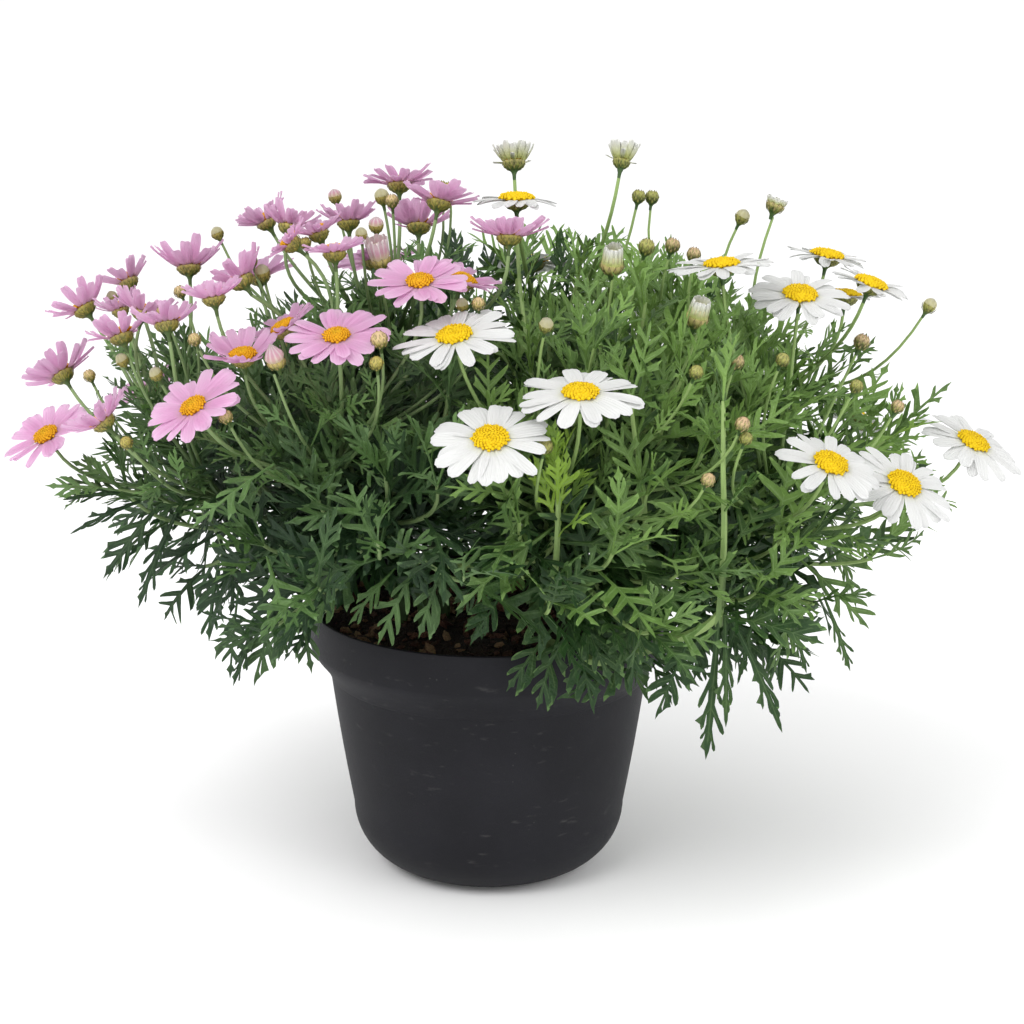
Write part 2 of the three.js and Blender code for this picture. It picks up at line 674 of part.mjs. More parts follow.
// Rings along a curve, with a close pair wherever `leaves` says how many leaves grow there
function curveRings(curve, fractions, radiusAt, leaves = {}) {
  const short = LEAF_FOOT / curve.getLength()
  return fractions.flatMap((f, i) => {
    const ringAt = (g) => ({ middle: curve.getPoint(g), direction: curve.getTangent(g), radius: radiusAt(g) })
    if (!leaves[i]) return [ringAt(f)]
    if (f === 1) return [{ ...ringAt(f), leaves: leaves[i] }]
    return [{ ...ringAt(f), leaves: leaves[i] }, ringAt(f + short)]
  })
}

function ringsUnder(tip, axis, pairs) {
  return pairs.map(([depth, radius]) => {
    return { middle: tip.clone().addScaledVector(axis, -depth), direction: axis, radius }
  })
}

const blooms = [
  ...PINK_BLOOMS.map((values) => ({ values, kind: PINK, colour: 'pink' })),
  ...WHITE_BLOOMS.map((values) => ({ values, kind: WHITE, colour: 'white' }))
]
const bloomSolids = blooms.map(({ values, kind }) => makeBloom(values, kind))
const parts = Object.fromEntries(stemNames.map((name) => [name, []]))
let leafCount = 0

for (const name of stemNames) {
  const radiusAt = (f) => STEM_RADIUS + (STEM_END_RADIUS - STEM_RADIUS) * f
  const rings = curveRings(stemCurves[name], steps(5), radiusAt)
  const buried = STEM_STRAIGHT + STEM_HOLE_DEPTH - 1
  rings.unshift(...ringsUnder(rings[0].middle, UP, [[buried, STEM_RADIUS]]))
  parts[name].push(shootSolid(rings, STEM_SIDES, name, 'stem'), makeHeart(name))
  for (const p of stemCurves[name].getPoints(30)) stand(p, STEM_RADIUS, name, 'stem')
}

// Stalks first, because each must reach its bloom or bud
const stalks = blooms.map(({ values, kind, colour }, index) => {
  const origin = vector(values)
  const axis = axisOf(values[3], values[4])
  const part = `bloom ${index}`
  const name = nearestStem(origin, colour)
  stand(origin.clone().addScaledVector(axis, -4), 5, name, part)
  const neck = CALYX_DEPTH + NECK_LENGTH
  const curve = shootCurve(name, origin.clone().addScaledVector(axis, -neck), axis, part, [...STALK_RINGS, 1])
  if (!curve) throw new Error(`no clear way for ${part} from ${name}`)
  const cup = [[neck, STALK_RADIUS], [CALYX_DEPTH, kind.calyx * 0.5], [CLEAR, kind.calyx]]
  return { curve, name, part, head: ringsUnder(origin, axis, cup) }
})

for (const [buds, colour] of [[PINK_BUDS, 'pink'], [WHITE_BUDS, 'white']]) {
  buds.forEach(([x, y, z, width], index) => {
    const tip = new THREE.Vector3(x, y, z)
    const axis = tip.clone().sub(BUD_AIM).normalize()
    const part = `${colour} bud ${index}`
    const name = nearestStem(tip, colour)
    const neck = width * 1.15
    const curve = shootCurve(name, tip.clone().addScaledVector(axis, -neck), axis, part, [...STALK_RINGS, 1])
    if (!curve) throw new Error(`no clear way for ${part} from ${name}`)
    const knob = [[neck, STALK_RADIUS], [width * 0.6, width / 2], [0, width * 0.2]]
    stalks.push({ curve, name, part, head: ringsUnder(tip, axis, knob) })
  })
}

// Leafy twigs: the ones seen one by one, then an even spiral over the mound
const twigs = HAND_SHOOTS.map(({ stem, tip }) => ({ name: stem, tip: vector(tip) }))
for (let i = 0; i < TWIG_COUNT; i++) {
  const height = MOUND_LOWEST + (MOUND_HIGHEST - MOUND_LOWEST) * ((i + 0.5) / TWIG_COUNT)
  const flat = Math.sqrt(1 - height * height)
  const azimuth = i * GOLDEN_ANGLE
  const tip = new THREE.Vector3(flat * Math.cos(azimuth), flat * Math.sin(azimuth), height)
  tip.multiply(MOUND_REACH)
  tip.setLength(tip.length() - TWIG_DEPTH).add(MOUND_MIDDLE)
  twigs.push({ name: nearestStem(tip, tip.x < MOUND_MIDDLE.x ? 'pink' : 'white'), tip })
}
twigs.forEach(({ name, tip }, index) => {
  const axis = tip.clone().sub(MOUND_MIDDLE).normalize()
  const part = `twig ${index}`
  const curve = shootCurve(name, tip, axis, part, TWIG_RINGS)
  if (!curve) return
  const radiusAt = (f) => TWIG_RADIUS * (1.15 - 0.35 * f)
  const rings = curveRings(curve, TWIG_RINGS, radiusAt, { 1: 2, 2: 1 })
  parts[name].push(shootSolid(rings, SHOOT_SIDES, name, part))
})
for (const { curve, name, part, head } of stalks) {
  const rings = curveRings(curve, STALK_RINGS, (f) => STALK_RADIUS * (1.5 - 0.5 * f))
  parts[name].push(shootSolid([...rings, ...head], SHOOT_SIDES, name, part))
}

const MATERIALS = {
  pot: { color: 0x2f2f34, roughness: 0.55, metalness: 0 },
  soil: { color: 0x3a281c, roughness: 0.95, metalness: 0 },
  pinkLeaf: { color: 0x3c6636, roughness: 0.7, metalness: 0 },
  whiteLeaf: { color: 0x4a7c3a, roughness: 0.7, metalness: 0 },
  pinkRay: { color: 0xdda0d3, roughness: 0.6, metalness: 0 },
  whiteRay: { color: 0xf4f4f0, roughness: 0.6, metalness: 0 }
}

const plant = new THREE.Group()

function addPiece(name, solid, look) {
  const piece = new THREE.Mesh(geometryOf(solid), new THREE.MeshStandardMaterial(MATERIALS[look]))
  piece.name = name
  plant.add(piece)
}

addPiece('pot', makePot(), 'pot')
addPiece('soil', makeSoil(), 'soil')
for (const name of stemNames) {
  const solid = biggestBody(parts[name].reduce((joined, piece) => joined.add(piece)))
  addPiece(`leafy_stem_${name}`, solid, name.startsWith('pink') ? 'pinkLeaf' : 'whiteLeaf')
}
const counts = { pink: 0, white: 0 }
blooms.forEach(({ colour }, index) => {
  counts[colour] += 1
  const number = String(counts[colour]).padStart(2, '0')
  addPiece(`bloom_${colour}_${number}`, bloomSolids[index], `${colour}Ray`)
})

export default plant
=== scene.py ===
"""Potted marguerite daisy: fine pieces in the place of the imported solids, with their materials.

Shapes are worked out in millimetres in the frame's own axes, and become metres in each mesh.
Every shell is closed. Each point carries a vector for the materials, called grain: how far it lies
along its own part, how far across it, and a tone that differs from one part to the next.
"""

import math

import bpy
import numpy as np
from mathutils import Matrix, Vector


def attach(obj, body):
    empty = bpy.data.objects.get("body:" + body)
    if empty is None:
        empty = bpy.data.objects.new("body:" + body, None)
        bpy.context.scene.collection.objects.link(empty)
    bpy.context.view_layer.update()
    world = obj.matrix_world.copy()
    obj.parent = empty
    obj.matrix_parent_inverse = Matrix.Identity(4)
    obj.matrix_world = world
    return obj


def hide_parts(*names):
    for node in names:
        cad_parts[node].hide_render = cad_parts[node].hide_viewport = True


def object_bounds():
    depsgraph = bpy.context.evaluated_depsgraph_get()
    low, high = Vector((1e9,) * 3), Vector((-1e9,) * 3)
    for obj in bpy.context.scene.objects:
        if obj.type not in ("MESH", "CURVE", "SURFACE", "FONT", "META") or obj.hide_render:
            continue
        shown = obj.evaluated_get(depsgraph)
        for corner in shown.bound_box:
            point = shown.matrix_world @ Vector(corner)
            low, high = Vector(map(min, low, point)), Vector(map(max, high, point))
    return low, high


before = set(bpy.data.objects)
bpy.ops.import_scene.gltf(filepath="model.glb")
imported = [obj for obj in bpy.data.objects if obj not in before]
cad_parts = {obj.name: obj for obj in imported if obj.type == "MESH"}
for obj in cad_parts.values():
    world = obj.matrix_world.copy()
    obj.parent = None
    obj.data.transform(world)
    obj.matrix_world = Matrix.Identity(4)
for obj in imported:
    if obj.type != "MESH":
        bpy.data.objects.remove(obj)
cad_low, cad_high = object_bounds()
random = np.random.default_rng(20731)
METRES, MILLIMETRES = 0.001, 1000
FRAME_PIXELS = 1024
GOLDEN_ANGLE = 2.39996
UP = np.array([0.0, 0.0, 1.0])
LIGHT_WAY = np.array([0.0, -0.55, 0.84])

# Stems of the two plants: hole in the soil, and the point in the bush where the stem ends
SOIL_TOP, STEM_DEPTH, STEM_STRAIGHT = 133, 24, 9
STEM_RADIUS, STEM_END_RADIUS = 3.4, 1.7
STEMS = {
    "pink_left": ((-46, -8), (-152, -52, 226)),
    "pink_front": ((-34, -22), (-78, -98, 240)),
    "pink_middle": ((-24, 4), (-52, 6, 268)),
    "pink_back": ((-38, 20), (-112, 96, 226)),
    "white_front": ((24, -18), (30, -108, 226)),
    "white_right": ((44, -14), (138, -64, 206)),
    "white_far_right": ((48, 8), (140, 58, 232)),
    "white_back": ((28, 18), (34, 92, 240)),
}
# Mound of leaves, and how far in and how low painted shade starts to darken its leaves
MOUND_MIDDLE = np.array([4.0, 0.0, 176.0])
MOUND_REACH = np.array([246.0, 200.0, 152.0])
PAINTED_SHADE_SHARE, PAINTED_SHADE_LEVEL = 0.78, 210

# Camera of the photograph, in millimetres and pixels of a 1024 pixel frame
CAMERA = np.array([0.0, -1529.0, 632.0])
CAMERA_PITCH = math.radians(16)
FOCAL_PIXELS = 3016
AXIS_COLUMN = 488.7


def unit(vectors):
    """Vectors scaled to length 1."""
    return vectors / np.maximum(np.linalg.norm(vectors, axis=-1, keepdims=True), 1e-9)


def even_angles(count):
    """Angles of `count` even steps round a full turn."""
    return np.arange(count) * 2 * math.pi / count


def around(angles, x, y):
    """Directions at angles round an axis: cos a times x plus sin a times y."""
    return np.cos(angles)[..., None] * x + np.sin(angles)[..., None] * y


def scaled(profile, up, out):
    """Profile of (height, radius) with its heights scaled by one number and its radii by another."""
    return [(height * up, radius * out) for height, radius in profile]


def seen(points):
    """Column, row and depth of points in the photograph's frame: both offsets over depth, times focal."""
    offset = points - CAMERA
    depth = offset[..., 1] * math.cos(CAMERA_PITCH) - offset[..., 2] * math.sin(CAMERA_PITCH)
    rise = offset[..., 1] * math.sin(CAMERA_PITCH) + offset[..., 2] * math.cos(CAMERA_PITCH)
    column = AXIS_COLUMN + FOCAL_PIXELS * offset[..., 0] / depth
    return column, FRAME_PIXELS / 2 - FOCAL_PIXELS * rise / depth, depth


class Value:
    """A shader socket that takes part in sums, so that a material reads as a formula."""

    def __init__(self, look, socket):
        self.look, self.socket = look, socket

    def __add__(self, other):
        return self.look.math("ADD", self, other)

    def __sub__(self, other):
        return self.look.math("SUBTRACT", self, other)

    def __rsub__(self, other):
        return self.look.math("SUBTRACT", other, self)

    def __mul__(self, other):
        return self.look.math("MULTIPLY", self, other)

    __radd__, __rmul__ = __add__, __mul__

    def sine(self):
        return self.look.math("SINE", self)

    def size(self):
        return self.look.math("ABSOLUTE", self)

    def smooth(self, low, high):
        """0 below low, 1 above high, and an S-curve between them."""
        inputs = {0: self, 1: low, 2: high, 3: 0.0, 4: 1.0}
        return self.look.node("MapRange", inputs=inputs, interpolation_type="SMOOTHSTEP")


class Look:
    """One procedural material."""

    def __init__(self, name):
        self.material = bpy.data.materials.new(name)
        self.material.use_nodes = True
        self.tree = self.material.node_tree
        self.tree.nodes.clear()
        grain = self.node("Attribute", 1, attribute_name="grain")
        split = self.node("SeparateXYZ", inputs={0: grain}).socket.node
        self.along, self.across, self.tone = [Value(self, s) for s in split.outputs]
        self.place = self.node("TexCoord", "Object")

    def node(self, kind, out=0, inputs=None, **settings):
        """Adds a node: its settings first, then the values or links of its sockets; gives one output."""
        made = self.tree.nodes.new("ShaderNode" + kind)
        for key, value in settings.items():
            setattr(made, key, value)
        for key, value in (inputs or {}).items():
            if isinstance(value, Value):
                self.tree.links.new(value.socket, made.inputs[key])
            else:
                made.inputs[key].default_value = value
        return Value(self, made.outputs[out]) if made.outputs else None

    def math(self, operation, *values):
        return self.node("Math", inputs=dict(enumerate(values)), operation=operation)

    def mix(self, factor, first, second):
        """Colour between two colours, each a value or (red, green, blue)."""
        ends = [c if isinstance(c, Value) else (*c, 1.0) for c in (first, second)]
        inputs = {0: factor, 6: ends[0], 7: ends[1]}
        return self.node("Mix", 2, inputs, data_type="RGBA", clamp_factor=True)

    def stretched(self, scales):
        """Object coordinates, scaled by a number for each axis."""
        return self.node("VectorMath", inputs={0: self.place, 1: scales}, operation="MULTIPLY")

    def noise(self, scale, detail, place=None):
        inputs = {"Vector": place or self.place, "Scale": scale, "Detail": detail}
        return self.node("TexNoise", 0, inputs)

    def cells(self, scale):
        """Distance from the middle of the nearest cell."""
        return self.node("TexVoronoi", 0, {"Vector": self.place, "Scale": scale})

    def done(self, colour, roughness, height=None, depth=0.001, through=0.0, tint=None, **constants):
        """Joins colour, roughness and a height into a shader, mixed with light that shines through."""
        inputs = {"Base Color": colour, "Roughness": roughness, **constants}
        if height is not None:
            bump = {"Height": height, "Distance": depth, "Strength": 1.0}
            inputs["Normal"] = self.node("Bump", inputs=bump)
        shader = self.node("BsdfPrincipled", inputs=inputs)
        if through:
            glow = self.node("BsdfTranslucent", inputs={"Color": self.mix(0.5, colour, tint)})
            shader = self.node("MixShader", inputs={0: through, 1: shader, 2: glow})
        self.node("OutputMaterial", inputs={0: shader})
        return self.material


LIME = (0.26, 0.42, 0.045)
LEAF_GLOW = (0.25, 0.5, 0.04)


def leaf_look(name, deep_green_and_shade, fresh, rib, under=0.0):
    """Leaf: deep to fresh green, then lime, by tone and blotches, with a paler rib, edge and uneven skin."""
    look = Look(name)
    blotch = look.noise(70, 3)
    share = look.tone * 0.85 + (blotch - 0.5) * 0.6 + under
    # Deep green is also painted shade: leaves whose tone the mound's shade lowered take this colour
    colour = look.mix(share.smooth(0.0, 1.0), deep_green_and_shade, fresh)
    colour = look.mix(share.smooth(1.05, 1.45), colour, LIME)
    on_rib, on_edge = 1 - look.across.smooth(0.05, 0.3), look.across.smooth(0.9, 1.0)
    paler = (on_rib * 0.45 + on_edge * 0.3) * (share.smooth(-0.1, 0.9) * 0.7 + 0.3)
    colour = look.mix(paler, colour, rib)
    skin = look.noise(900, 2) + look.noise(240, 2) * 2
    rough = 0.42 + under * 0.5 + blotch * 0.2
    return look.done(colour, rough, skin, 0.0005, 0.22, LEAF_GLOW, **{"Specular IOR Level": 0.4})


def stem_look(name, low, high):
    """Stem: paler towards its end, with fine lengthwise streaks."""
    look = Look(name)
    streak = look.noise(260, 3, look.stretched((1.0, 1.0, 0.12)))
    colour = look.mix((look.along + (streak - 0.5) * 0.9).smooth(0.0, 1.0), low, high)
    return look.done(colour, 0.5 + streak * 0.15, streak, 0.0006, 0.08, high)


def ray_look(name, main, pale, vein, eye_end, tint_reach=0.3, tint_share=0.6, margin=0.3, through=0.4):
    """Ray of a bloom: lengthwise veins, paler margins and tip, and a tint that fades out from the eye."""
    look = Look(name)
    lines = (look.across * 15.0).sine() * 0.5 + 0.5
    fine = (look.across * 43.0 + look.tone * 6.0).sine() * 0.5 + 0.5
    cloud = look.noise(150, 3)
    paler = look.along.smooth(0.45, 1.0) * 0.6 + look.across.size().smooth(0.4, 1.0) * margin
    colour = look.mix(paler, main, pale)
    colour = look.mix(lines * 0.14 + fine * 0.1 + (cloud - 0.5) * 0.4, colour, vein)
    # Paler with tone, which differs from ray to ray and, on pink blooms further back, is painted light
    colour = look.mix((look.tone - 0.5) * 0.5, colour, pale)
    colour = look.mix((1 - look.along.smooth(0.02, tint_reach)) * tint_share, colour, eye_end)
    height = lines * 0.6 + fine * 0.3 + look.noise(500, 2) * 0.5
    return look.done(colour, 0.5 + cloud * 0.15, height, 0.0004, through, pale, **{"Sheen Weight": 0.1})


def eye_look(name, tip, low, middle):
    """Florets of the eye: bright tips over darker feet, and a greener, closed middle."""
    look = Look(name)
    colour = look.mix(look.across.smooth(0.1, 0.9), low, tip)
    colour = look.mix((1 - look.along.smooth(0.1, 0.55)) * 0.55, colour, middle)
    colour = look.mix(look.tone * 0.35, colour, low)
    grain = look.noise(1400, 2)
    return look.done(colour, 0.6 + grain * 0.2, grain, 0.0004, 0.12, tip, **{"Specular IOR Level": 0.2})


def cup_look(name, low, high, margin):
    """Cup and bud scales: green low down, paler above, each scale with a thin dry margin."""
    look = Look(name)
    streak = look.noise(420, 3)
    colour = look.mix((look.along + (streak - 0.5) * 0.9).smooth(0.25, 0.85), low, high)
    dry = look.along.smooth(0.45, 0.95) * (look.tone.smooth(0.35, 1.0) * 0.75 + 0.2)
    colour = look.mix(dry, colour, margin)
    colour = look.mix(look.across.smooth(0.5, 0.95) * 0.8, colour, tuple(0.16 * c for c in margin))
    return look.done(colour, 0.48 + streak * 0.2, streak, 0.0005, 0.1, high)


def pot_look():
    """Moulded dark plastic: faint mottling and grain, pale scuffs and dust specks."""
    look = Look("pot_plastic")
    cloud = look.noise(22, 4)
    scuff = look.noise(90, 5, look.stretched((1.0, 1.0, 3.0)))
    speck = 1 - look.cells(260).smooth(0.05, 0.14)
    rare = look.noise(38, 2).smooth(0.56, 0.72)
    worn = scuff.smooth(0.62, 0.8) * 0.35 + speck * rare * 0.8
    colour = look.mix(cloud.smooth(0.3, 0.75), (0.0075, 0.0075, 0.01), (0.012, 0.012, 0.0155))
    colour = look.mix(worn, colour, (0.09, 0.088, 0.085))
    height = look.noise(1500, 3) * 0.4 + cloud * 0.8
    return look.done(colour, 0.5 + cloud * 0.16 + worn * 0.2, height, 0.0004, **{"Specular IOR Level": 0.17})


def soil_look(name, dark, warm, pale):
    """Peat: crumbs from dark to warm brown with a few pale fibres and a rough surface."""
    look = Look(name)
    coarse, fine = look.noise(160, 5), look.noise(700, 4)
    warmth = coarse * 0.6 + fine * 0.6 + look.tone * 0.4 - 0.45
    fibre = look.noise(330, 2, look.stretched((1.0, 3.0, 1.0)))
    colour = look.mix(warmth.smooth(0.1, 0.8), dark, warm)
    colour = look.mix(fibre.smooth(0.66, 0.78) * 0.6, colour, pale)
    return look.done(colour, 0.85 + fine * 0.1, coarse + fine, 0.003)


def plain_look(name, colour):
    """Plain matt paint with a hardly visible cloudiness."""
    look = Look(name)
    return look.done(look.mix(look.noise(3, 2), colour, tuple(0.985 * c for c in colour)), 0.9)


class Shells:
    """Closed shells that become one mesh. Repeated shapes come as an array of their points."""

    def __init__(self):
        self.points, self.grain, self.count = [], [], 0
        self.faces, self.looks = {4: [], 3: []}, {4: [], 3: []}

    def add(self, points, grain, quads=(), tris=(), looks=(0, 0)):
        """Adds shells of like faces; `looks` are the material places of their quads and triangles."""
        points = np.asarray(points, float).reshape(-1, *np.shape(points)[-2:])
        repeats, size = points.shape[:2]
        first = self.count + size * np.arange(repeats)[:, None, None]
        for corners, faces, look in ((4, quads, looks[0]), (3, tris, looks[1])):
            faces = np.asarray(faces, int).reshape(-1, corners)
            self.faces[corners].append((faces + first).reshape(-1, corners))
            self.looks[corners].append(np.tile(np.broadcast_to(look, len(faces)), repeats))
        self.points.append(points.reshape(-1, 3))
        self.grain.append(np.broadcast_to(grain, points.shape).reshape(-1, 3))
        self.count += repeats * size

    def piece(self, name, looks, nodes=(), slot=None, sharp=55):
        """Makes the mesh object, lets it ride on the body and stand for its CAD nodes."""
        quads, tris = (np.concatenate(self.faces[n]) for n in (4, 3))
        points = np.concatenate(self.points) * METRES
        corners = np.concatenate([quads.ravel(), tris.ravel()])
        starts = np.concatenate([4 * np.arange(len(quads)), 4 * len(quads) + 3 * np.arange(len(tris))])
        places = np.concatenate(self.looks[4] + self.looks[3])
        mesh = bpy.data.meshes.new(name)
        mesh.vertices.add(len(points))
        mesh.vertices.foreach_set("co", points.astype(np.float32).ravel())
        mesh.loops.add(len(corners))
        mesh.loops.foreach_set("vertex_index", corners.astype(np.int32))
        mesh.polygons.add(len(starts))
        mesh.polygons.foreach_set("loop_start", starts.astype(np.int32))
        mesh.polygons.foreach_set("material_index", places.astype(np.int32))
        grain = mesh.attributes.new("grain", "FLOAT_VECTOR", "POINT")
        grain.data.foreach_set("vector", np.concatenate(self.grain).astype(np.float32).ravel())
        mesh.update(calc_edges=True)
        for look in looks:
            mesh.materials.append(look)
        mesh.set_sharp_from_angle(angle=math.radians(sharp))
        made = bpy.data.objects.new(name, mesh)
        bpy.context.scene.collection.objects.link(made)
        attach(made, "root")
        if nodes:
            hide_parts(*nodes)
        return made


def ring_quads(count, sides):
    """Quads between `count` rings of `sides` points, which are numbered ring by ring."""
    ring, point = np.meshgrid(np.arange(count - 1) * sides, np.arange(sides), indexing="ij")
    following = (point + 1) % sides
    corners = [ring + point, ring + following, ring + sides + following, ring + sides + point]
    return np.stack(corners, -1).reshape(-1, 4)


def ringed(rings):
    """Points and faces of a shell through rings of points, with a pole in the middle of each end."""
    count, sides = rings.shape[:2]
    poles = rings[[0, -1]].mean(axis=1)
    point = np.arange(sides)
    following = (point + 1) % sides
    pole, last = np.full(sides, count * sides), (count - 1) * sides
    start = np.stack([pole, following, point], -1)
    end = np.stack([pole + 1, last + point, last + following], -1)
    points = np.concatenate([rings.reshape(-1, 3), poles])
    return points, ring_quads(count, sides), np.concatenate([start, end])


def ring_grain(count, sides, along, across, tone):
    """Grain for such a shell: along goes with the ring, across and tone are given for each ring."""
    rows = np.stack(np.broadcast_arrays(along, across, tone), -1).astype(float)
    rows = np.broadcast_to(rows, (count, 3))
    return np.concatenate([np.repeat(rows, sides, axis=0), rows[[0, -1]]])


def bezier(corners, shares):
    """Cubic Bezier curve: each corner weighs in by its binomial share."""
    t = np.asarray(shares, float)[:, None]
    a, b, c, d = [np.asarray(p, float) for p in corners]
    return (1 - t) ** 3 * a + 3 * (1 - t) ** 2 * t * b + 3 * (1 - t) * t**2 * c + t**3 * d


def through(points, count):
    """Smooth curve through points (Catmull-Rom), at `count` even steps of its parameter."""
    p = np.asarray(points, float)
    p = np.concatenate([[2 * p[0] - p[1]], p, [2 * p[-1] - p[-2]]])
    t = np.linspace(0, len(p) - 3 - 1e-9, count)
    i = t.astype(int)
    t = (t - i)[:, None]
    a, b, c, d = p[i], p[i + 1], p[i + 2], p[i + 3]
    return 0.5 * (2 * b + (c - a) * t + (2 * a - 5 * b + 4 * c - d) * t**2 + (3 * b - a - 3 * c + d) * t**3)


def frames_along(path):
    """Direction of a path at each point, and two directions across it."""
    direction = unit(np.gradient(path, axis=0))
    helper = np.eye(3)[np.argmin(np.abs(direction).sum(0))]
    x = unit(helper - direction * (direction @ helper)[:, None])
    return direction, x, np.cross(direction, x)


def add_tube(shells, path, ends, sides, look, tone, along=(0.0, 1.0), ridge=0.0):
    """Tube that tapers between the radii of its ends, times (1 + ridge cos 5a) at each angle a."""
    x, y = frames_along(path)[1:]
    angle = even_angles(sides)
    radius = np.linspace(*ends, len(path))[:, None] * (1 + ridge * np.cos(5 * angle))
    circle = around(angle, x[:, None], y[:, None])
    points, quads, tris = ringed(path[:, None] + radius[..., None] * circle)
    grain = ring_grain(len(path), sides, np.linspace(*along, len(path)), 0.0, tone)
    shells.add(points, grain, quads, tris, (look, look))


def axes_of(axis):
    """Two directions across an axis."""
    helper = np.array([1.0, 0.0, 0.0]) if abs(axis[2]) > 0.9 else UP
    x = unit(np.cross(helper, axis))
    return x, np.cross(axis, x)


def add_turned(shells, origin, axis, profile, sides, look=0, tone=0.5, along=None, ribs=0.0):
    """Turned shape: a profile of (height, radius) swung round an axis.

    With ribs, every other side stands out by that share of the radius and is a stripe in the grain.
    """
    x, y = axes_of(axis)
    profile = np.asarray(profile, float)
    angle = even_angles(sides)
    radius = profile[:, 1, None] * (1 + ribs * np.cos(sides // 2 * angle))
    rings = origin + profile[:, 0, None, None] * axis + radius[..., None] * around(angle, x, y)
    points, quads, tris = ringed(rings)
    along = np.linspace(0, 1, len(profile)) if along is None else along
    grain = ring_grain(len(profile), sides, along, 0.0, tone)
    grain[:-2, 1] = np.tile(np.arange(sides) % 2 * (ribs > 0), len(profile))
    shells.add(points, grain, quads, tris, (look, look))


# Leaves: a rib, and on each side an outline with three toothed lobes. The upper and lower points of the
# rib come first, then the tip, then for each side its outline and the upper and lower middles of its lobes
LOBES = 3
LOBE_POINTS = 7
RIB_POINTS = LOBES + 2
SIDE_POINTS = 1 + LOBE_POINTS * LOBES + 3
TIP = 2 * RIB_POINTS
SIDE_STARTS = (TIP + 1, TIP + 1 + SIDE_POINTS + 2 * LOBES)
LEAF_POINTS = SIDE_STARTS[1] + SIDE_POINTS + 2 * LOBES
LOBE_TIPS = [first + 5 + LOBE_POINTS * lobe for first in SIDE_STARTS for lobe in range(LOBES)]
LOBE_STARTS = np.array([0.31, 0.50, 0.69])
LOBE_SIZES = (0.33, 0.35, 0.23)
WING_SHARES = (1.0, 0.9, 0.8)
RIB_HALF_THICKNESS = np.array([0.016, 0.013, 0.011, 0.009, 0.006])
LOBE_HALF_THICKNESS = 0.006
COMMON_KINDS = 8
SLIM_KINDS, BROAD_KINDS = (8, 9), (10, 11)


def leaf_faces():
    """Faces of a leaf: a fan round the middle of each lobe and strips between lobes, on both faces."""
    faces, looks = {4: [], 3: []}, {4: [], 3: []}
    for under in (0, 1):
        for number, first in enumerate(SIDE_STARTS):
            rib = RIB_POINTS * under
            middle = first + SIDE_POINTS + LOBES * under
            made = [[rib, rib + 1, first + 1, first]]
            for lobe in range(LOBES):
                r, m, s = rib + 1 + lobe, middle + lobe, first + 1 + LOBE_POINTS * lobe
                made += [[m, s + 1, s, r], [m, s + 3, s + 2, s + 1], [m, s + 5, s + 4, s + 3],
                         [m, s + 6, s + 5], [m, r, s + 6], [r, r + 1, s + 7, s + 6]]
            r, s = rib + 1 + LOBES, first + 1 + LOBE_POINTS * LOBES
            made += [[r, s + 2, s + 1, s], [r, TIP, s + 2]]
            for face in made:
                faces[len(face)].append(face if number != under else face[::-1])
                looks[len(face)].append(under)
    faces[4].append([0, SIDE_STARTS[1], RIB_POINTS, SIDE_STARTS[0]])
    looks[4].append(0)
    return faces[4], faces[3], (looks[4], looks[3])


def leaf_shape(kind):
    """One cut leaf of length 1 as (along, across, above).

    A lobe's axis leaves the rib at an angle and bends forward. Its margins lie half a width to each
    side, with a tooth on the outer margin of some, and run to a point. The blade waves the more, the
    further it is from the rib.
    """
    draw = np.random.default_rng(900 + kind)
    starts = LOBE_STARTS + draw.uniform(-0.03, 0.03, LOBES)
    wing, reach, tilt = draw.uniform(0.014, 0.03), 0.8 + 0.35 * (kind % 4) / 3, draw.uniform(0.78, 1.0)
    if kind in SLIM_KINDS:
        starts, reach, tilt = starts * 0.85 + 0.18, 0.55, 0.65
    broad = 1.35 if kind in BROAD_KINDS else 1.0
    points = np.zeros((LEAF_POINTS, 3))
    points[:RIB_POINTS, 0] = points[RIB_POINTS:TIP, 0] = [0.0, *(starts + 0.015), 0.87]
    points[:RIB_POINTS, 2], points[RIB_POINTS:TIP, 2] = RIB_HALF_THICKNESS, -RIB_HALF_THICKNESS
    points[TIP] = (1.03, 0.0, 0.0)
    for first, side in zip(SIDE_STARTS, (-1, 1)):
        shift = side * draw.uniform(0.0, 0.04)
        outline, middles = [(0.0, 0.012)], []
        for start, size, narrow in zip(starts, LOBE_SIZES, WING_SHARES):
            size *= reach * draw.uniform(0.65, 1.15)
            opening, bend = tilt + draw.uniform(-0.12, 0.12), draw.uniform(0.05, 0.6)
            half = 0.023 * broad * math.sqrt(size / 0.27) * draw.uniform(0.85, 1.15)
            tooth = draw.choice([0.0, 0.0, 0.035])

            def lobe_point(share, aside):
                angle = opening - bend * share
                return (start + 0.015 + shift + size * share * math.cos(angle) - aside * math.sin(angle),
                        size * share * math.sin(angle) + aside * math.cos(angle))

            outline += [(start - 0.02 + shift, wing * narrow), lobe_point(0.4, 0.95 * half),
                        lobe_point(0.72, half + tooth), lobe_point(0.78 if tooth else 0.93, 0.7 * half),
                        lobe_point(1.0, -0.1 * half), lobe_point(0.84, -0.85 * half),
                        (start + 0.035 + 0.16 * size + shift, wing * narrow)]
            middles.append(lobe_point(0.48, 0.0))
        end_tooth = 0.915 + draw.uniform(-0.02, 0.02), 0.018 + draw.choice([0.0, 0.028])
        outline += [(0.86, 0.9 * wing), end_tooth, (0.955, 0.016)]
        flat = np.array(outline + middles + middles)
        wave = draw.uniform(0.1, 0.35) * flat[:, 1] * np.sin(flat[:, 0] * 9 + draw.uniform(0, 6))
        wave[SIDE_POINTS:SIDE_POINTS + LOBES] += LOBE_HALF_THICKNESS
        wave[SIDE_POINTS + LOBES:] -= LOBE_HALF_THICKNESS
        points[first:first + len(flat)] = np.stack([flat[:, 0], side * flat[:, 1], wave], -1)
    return points


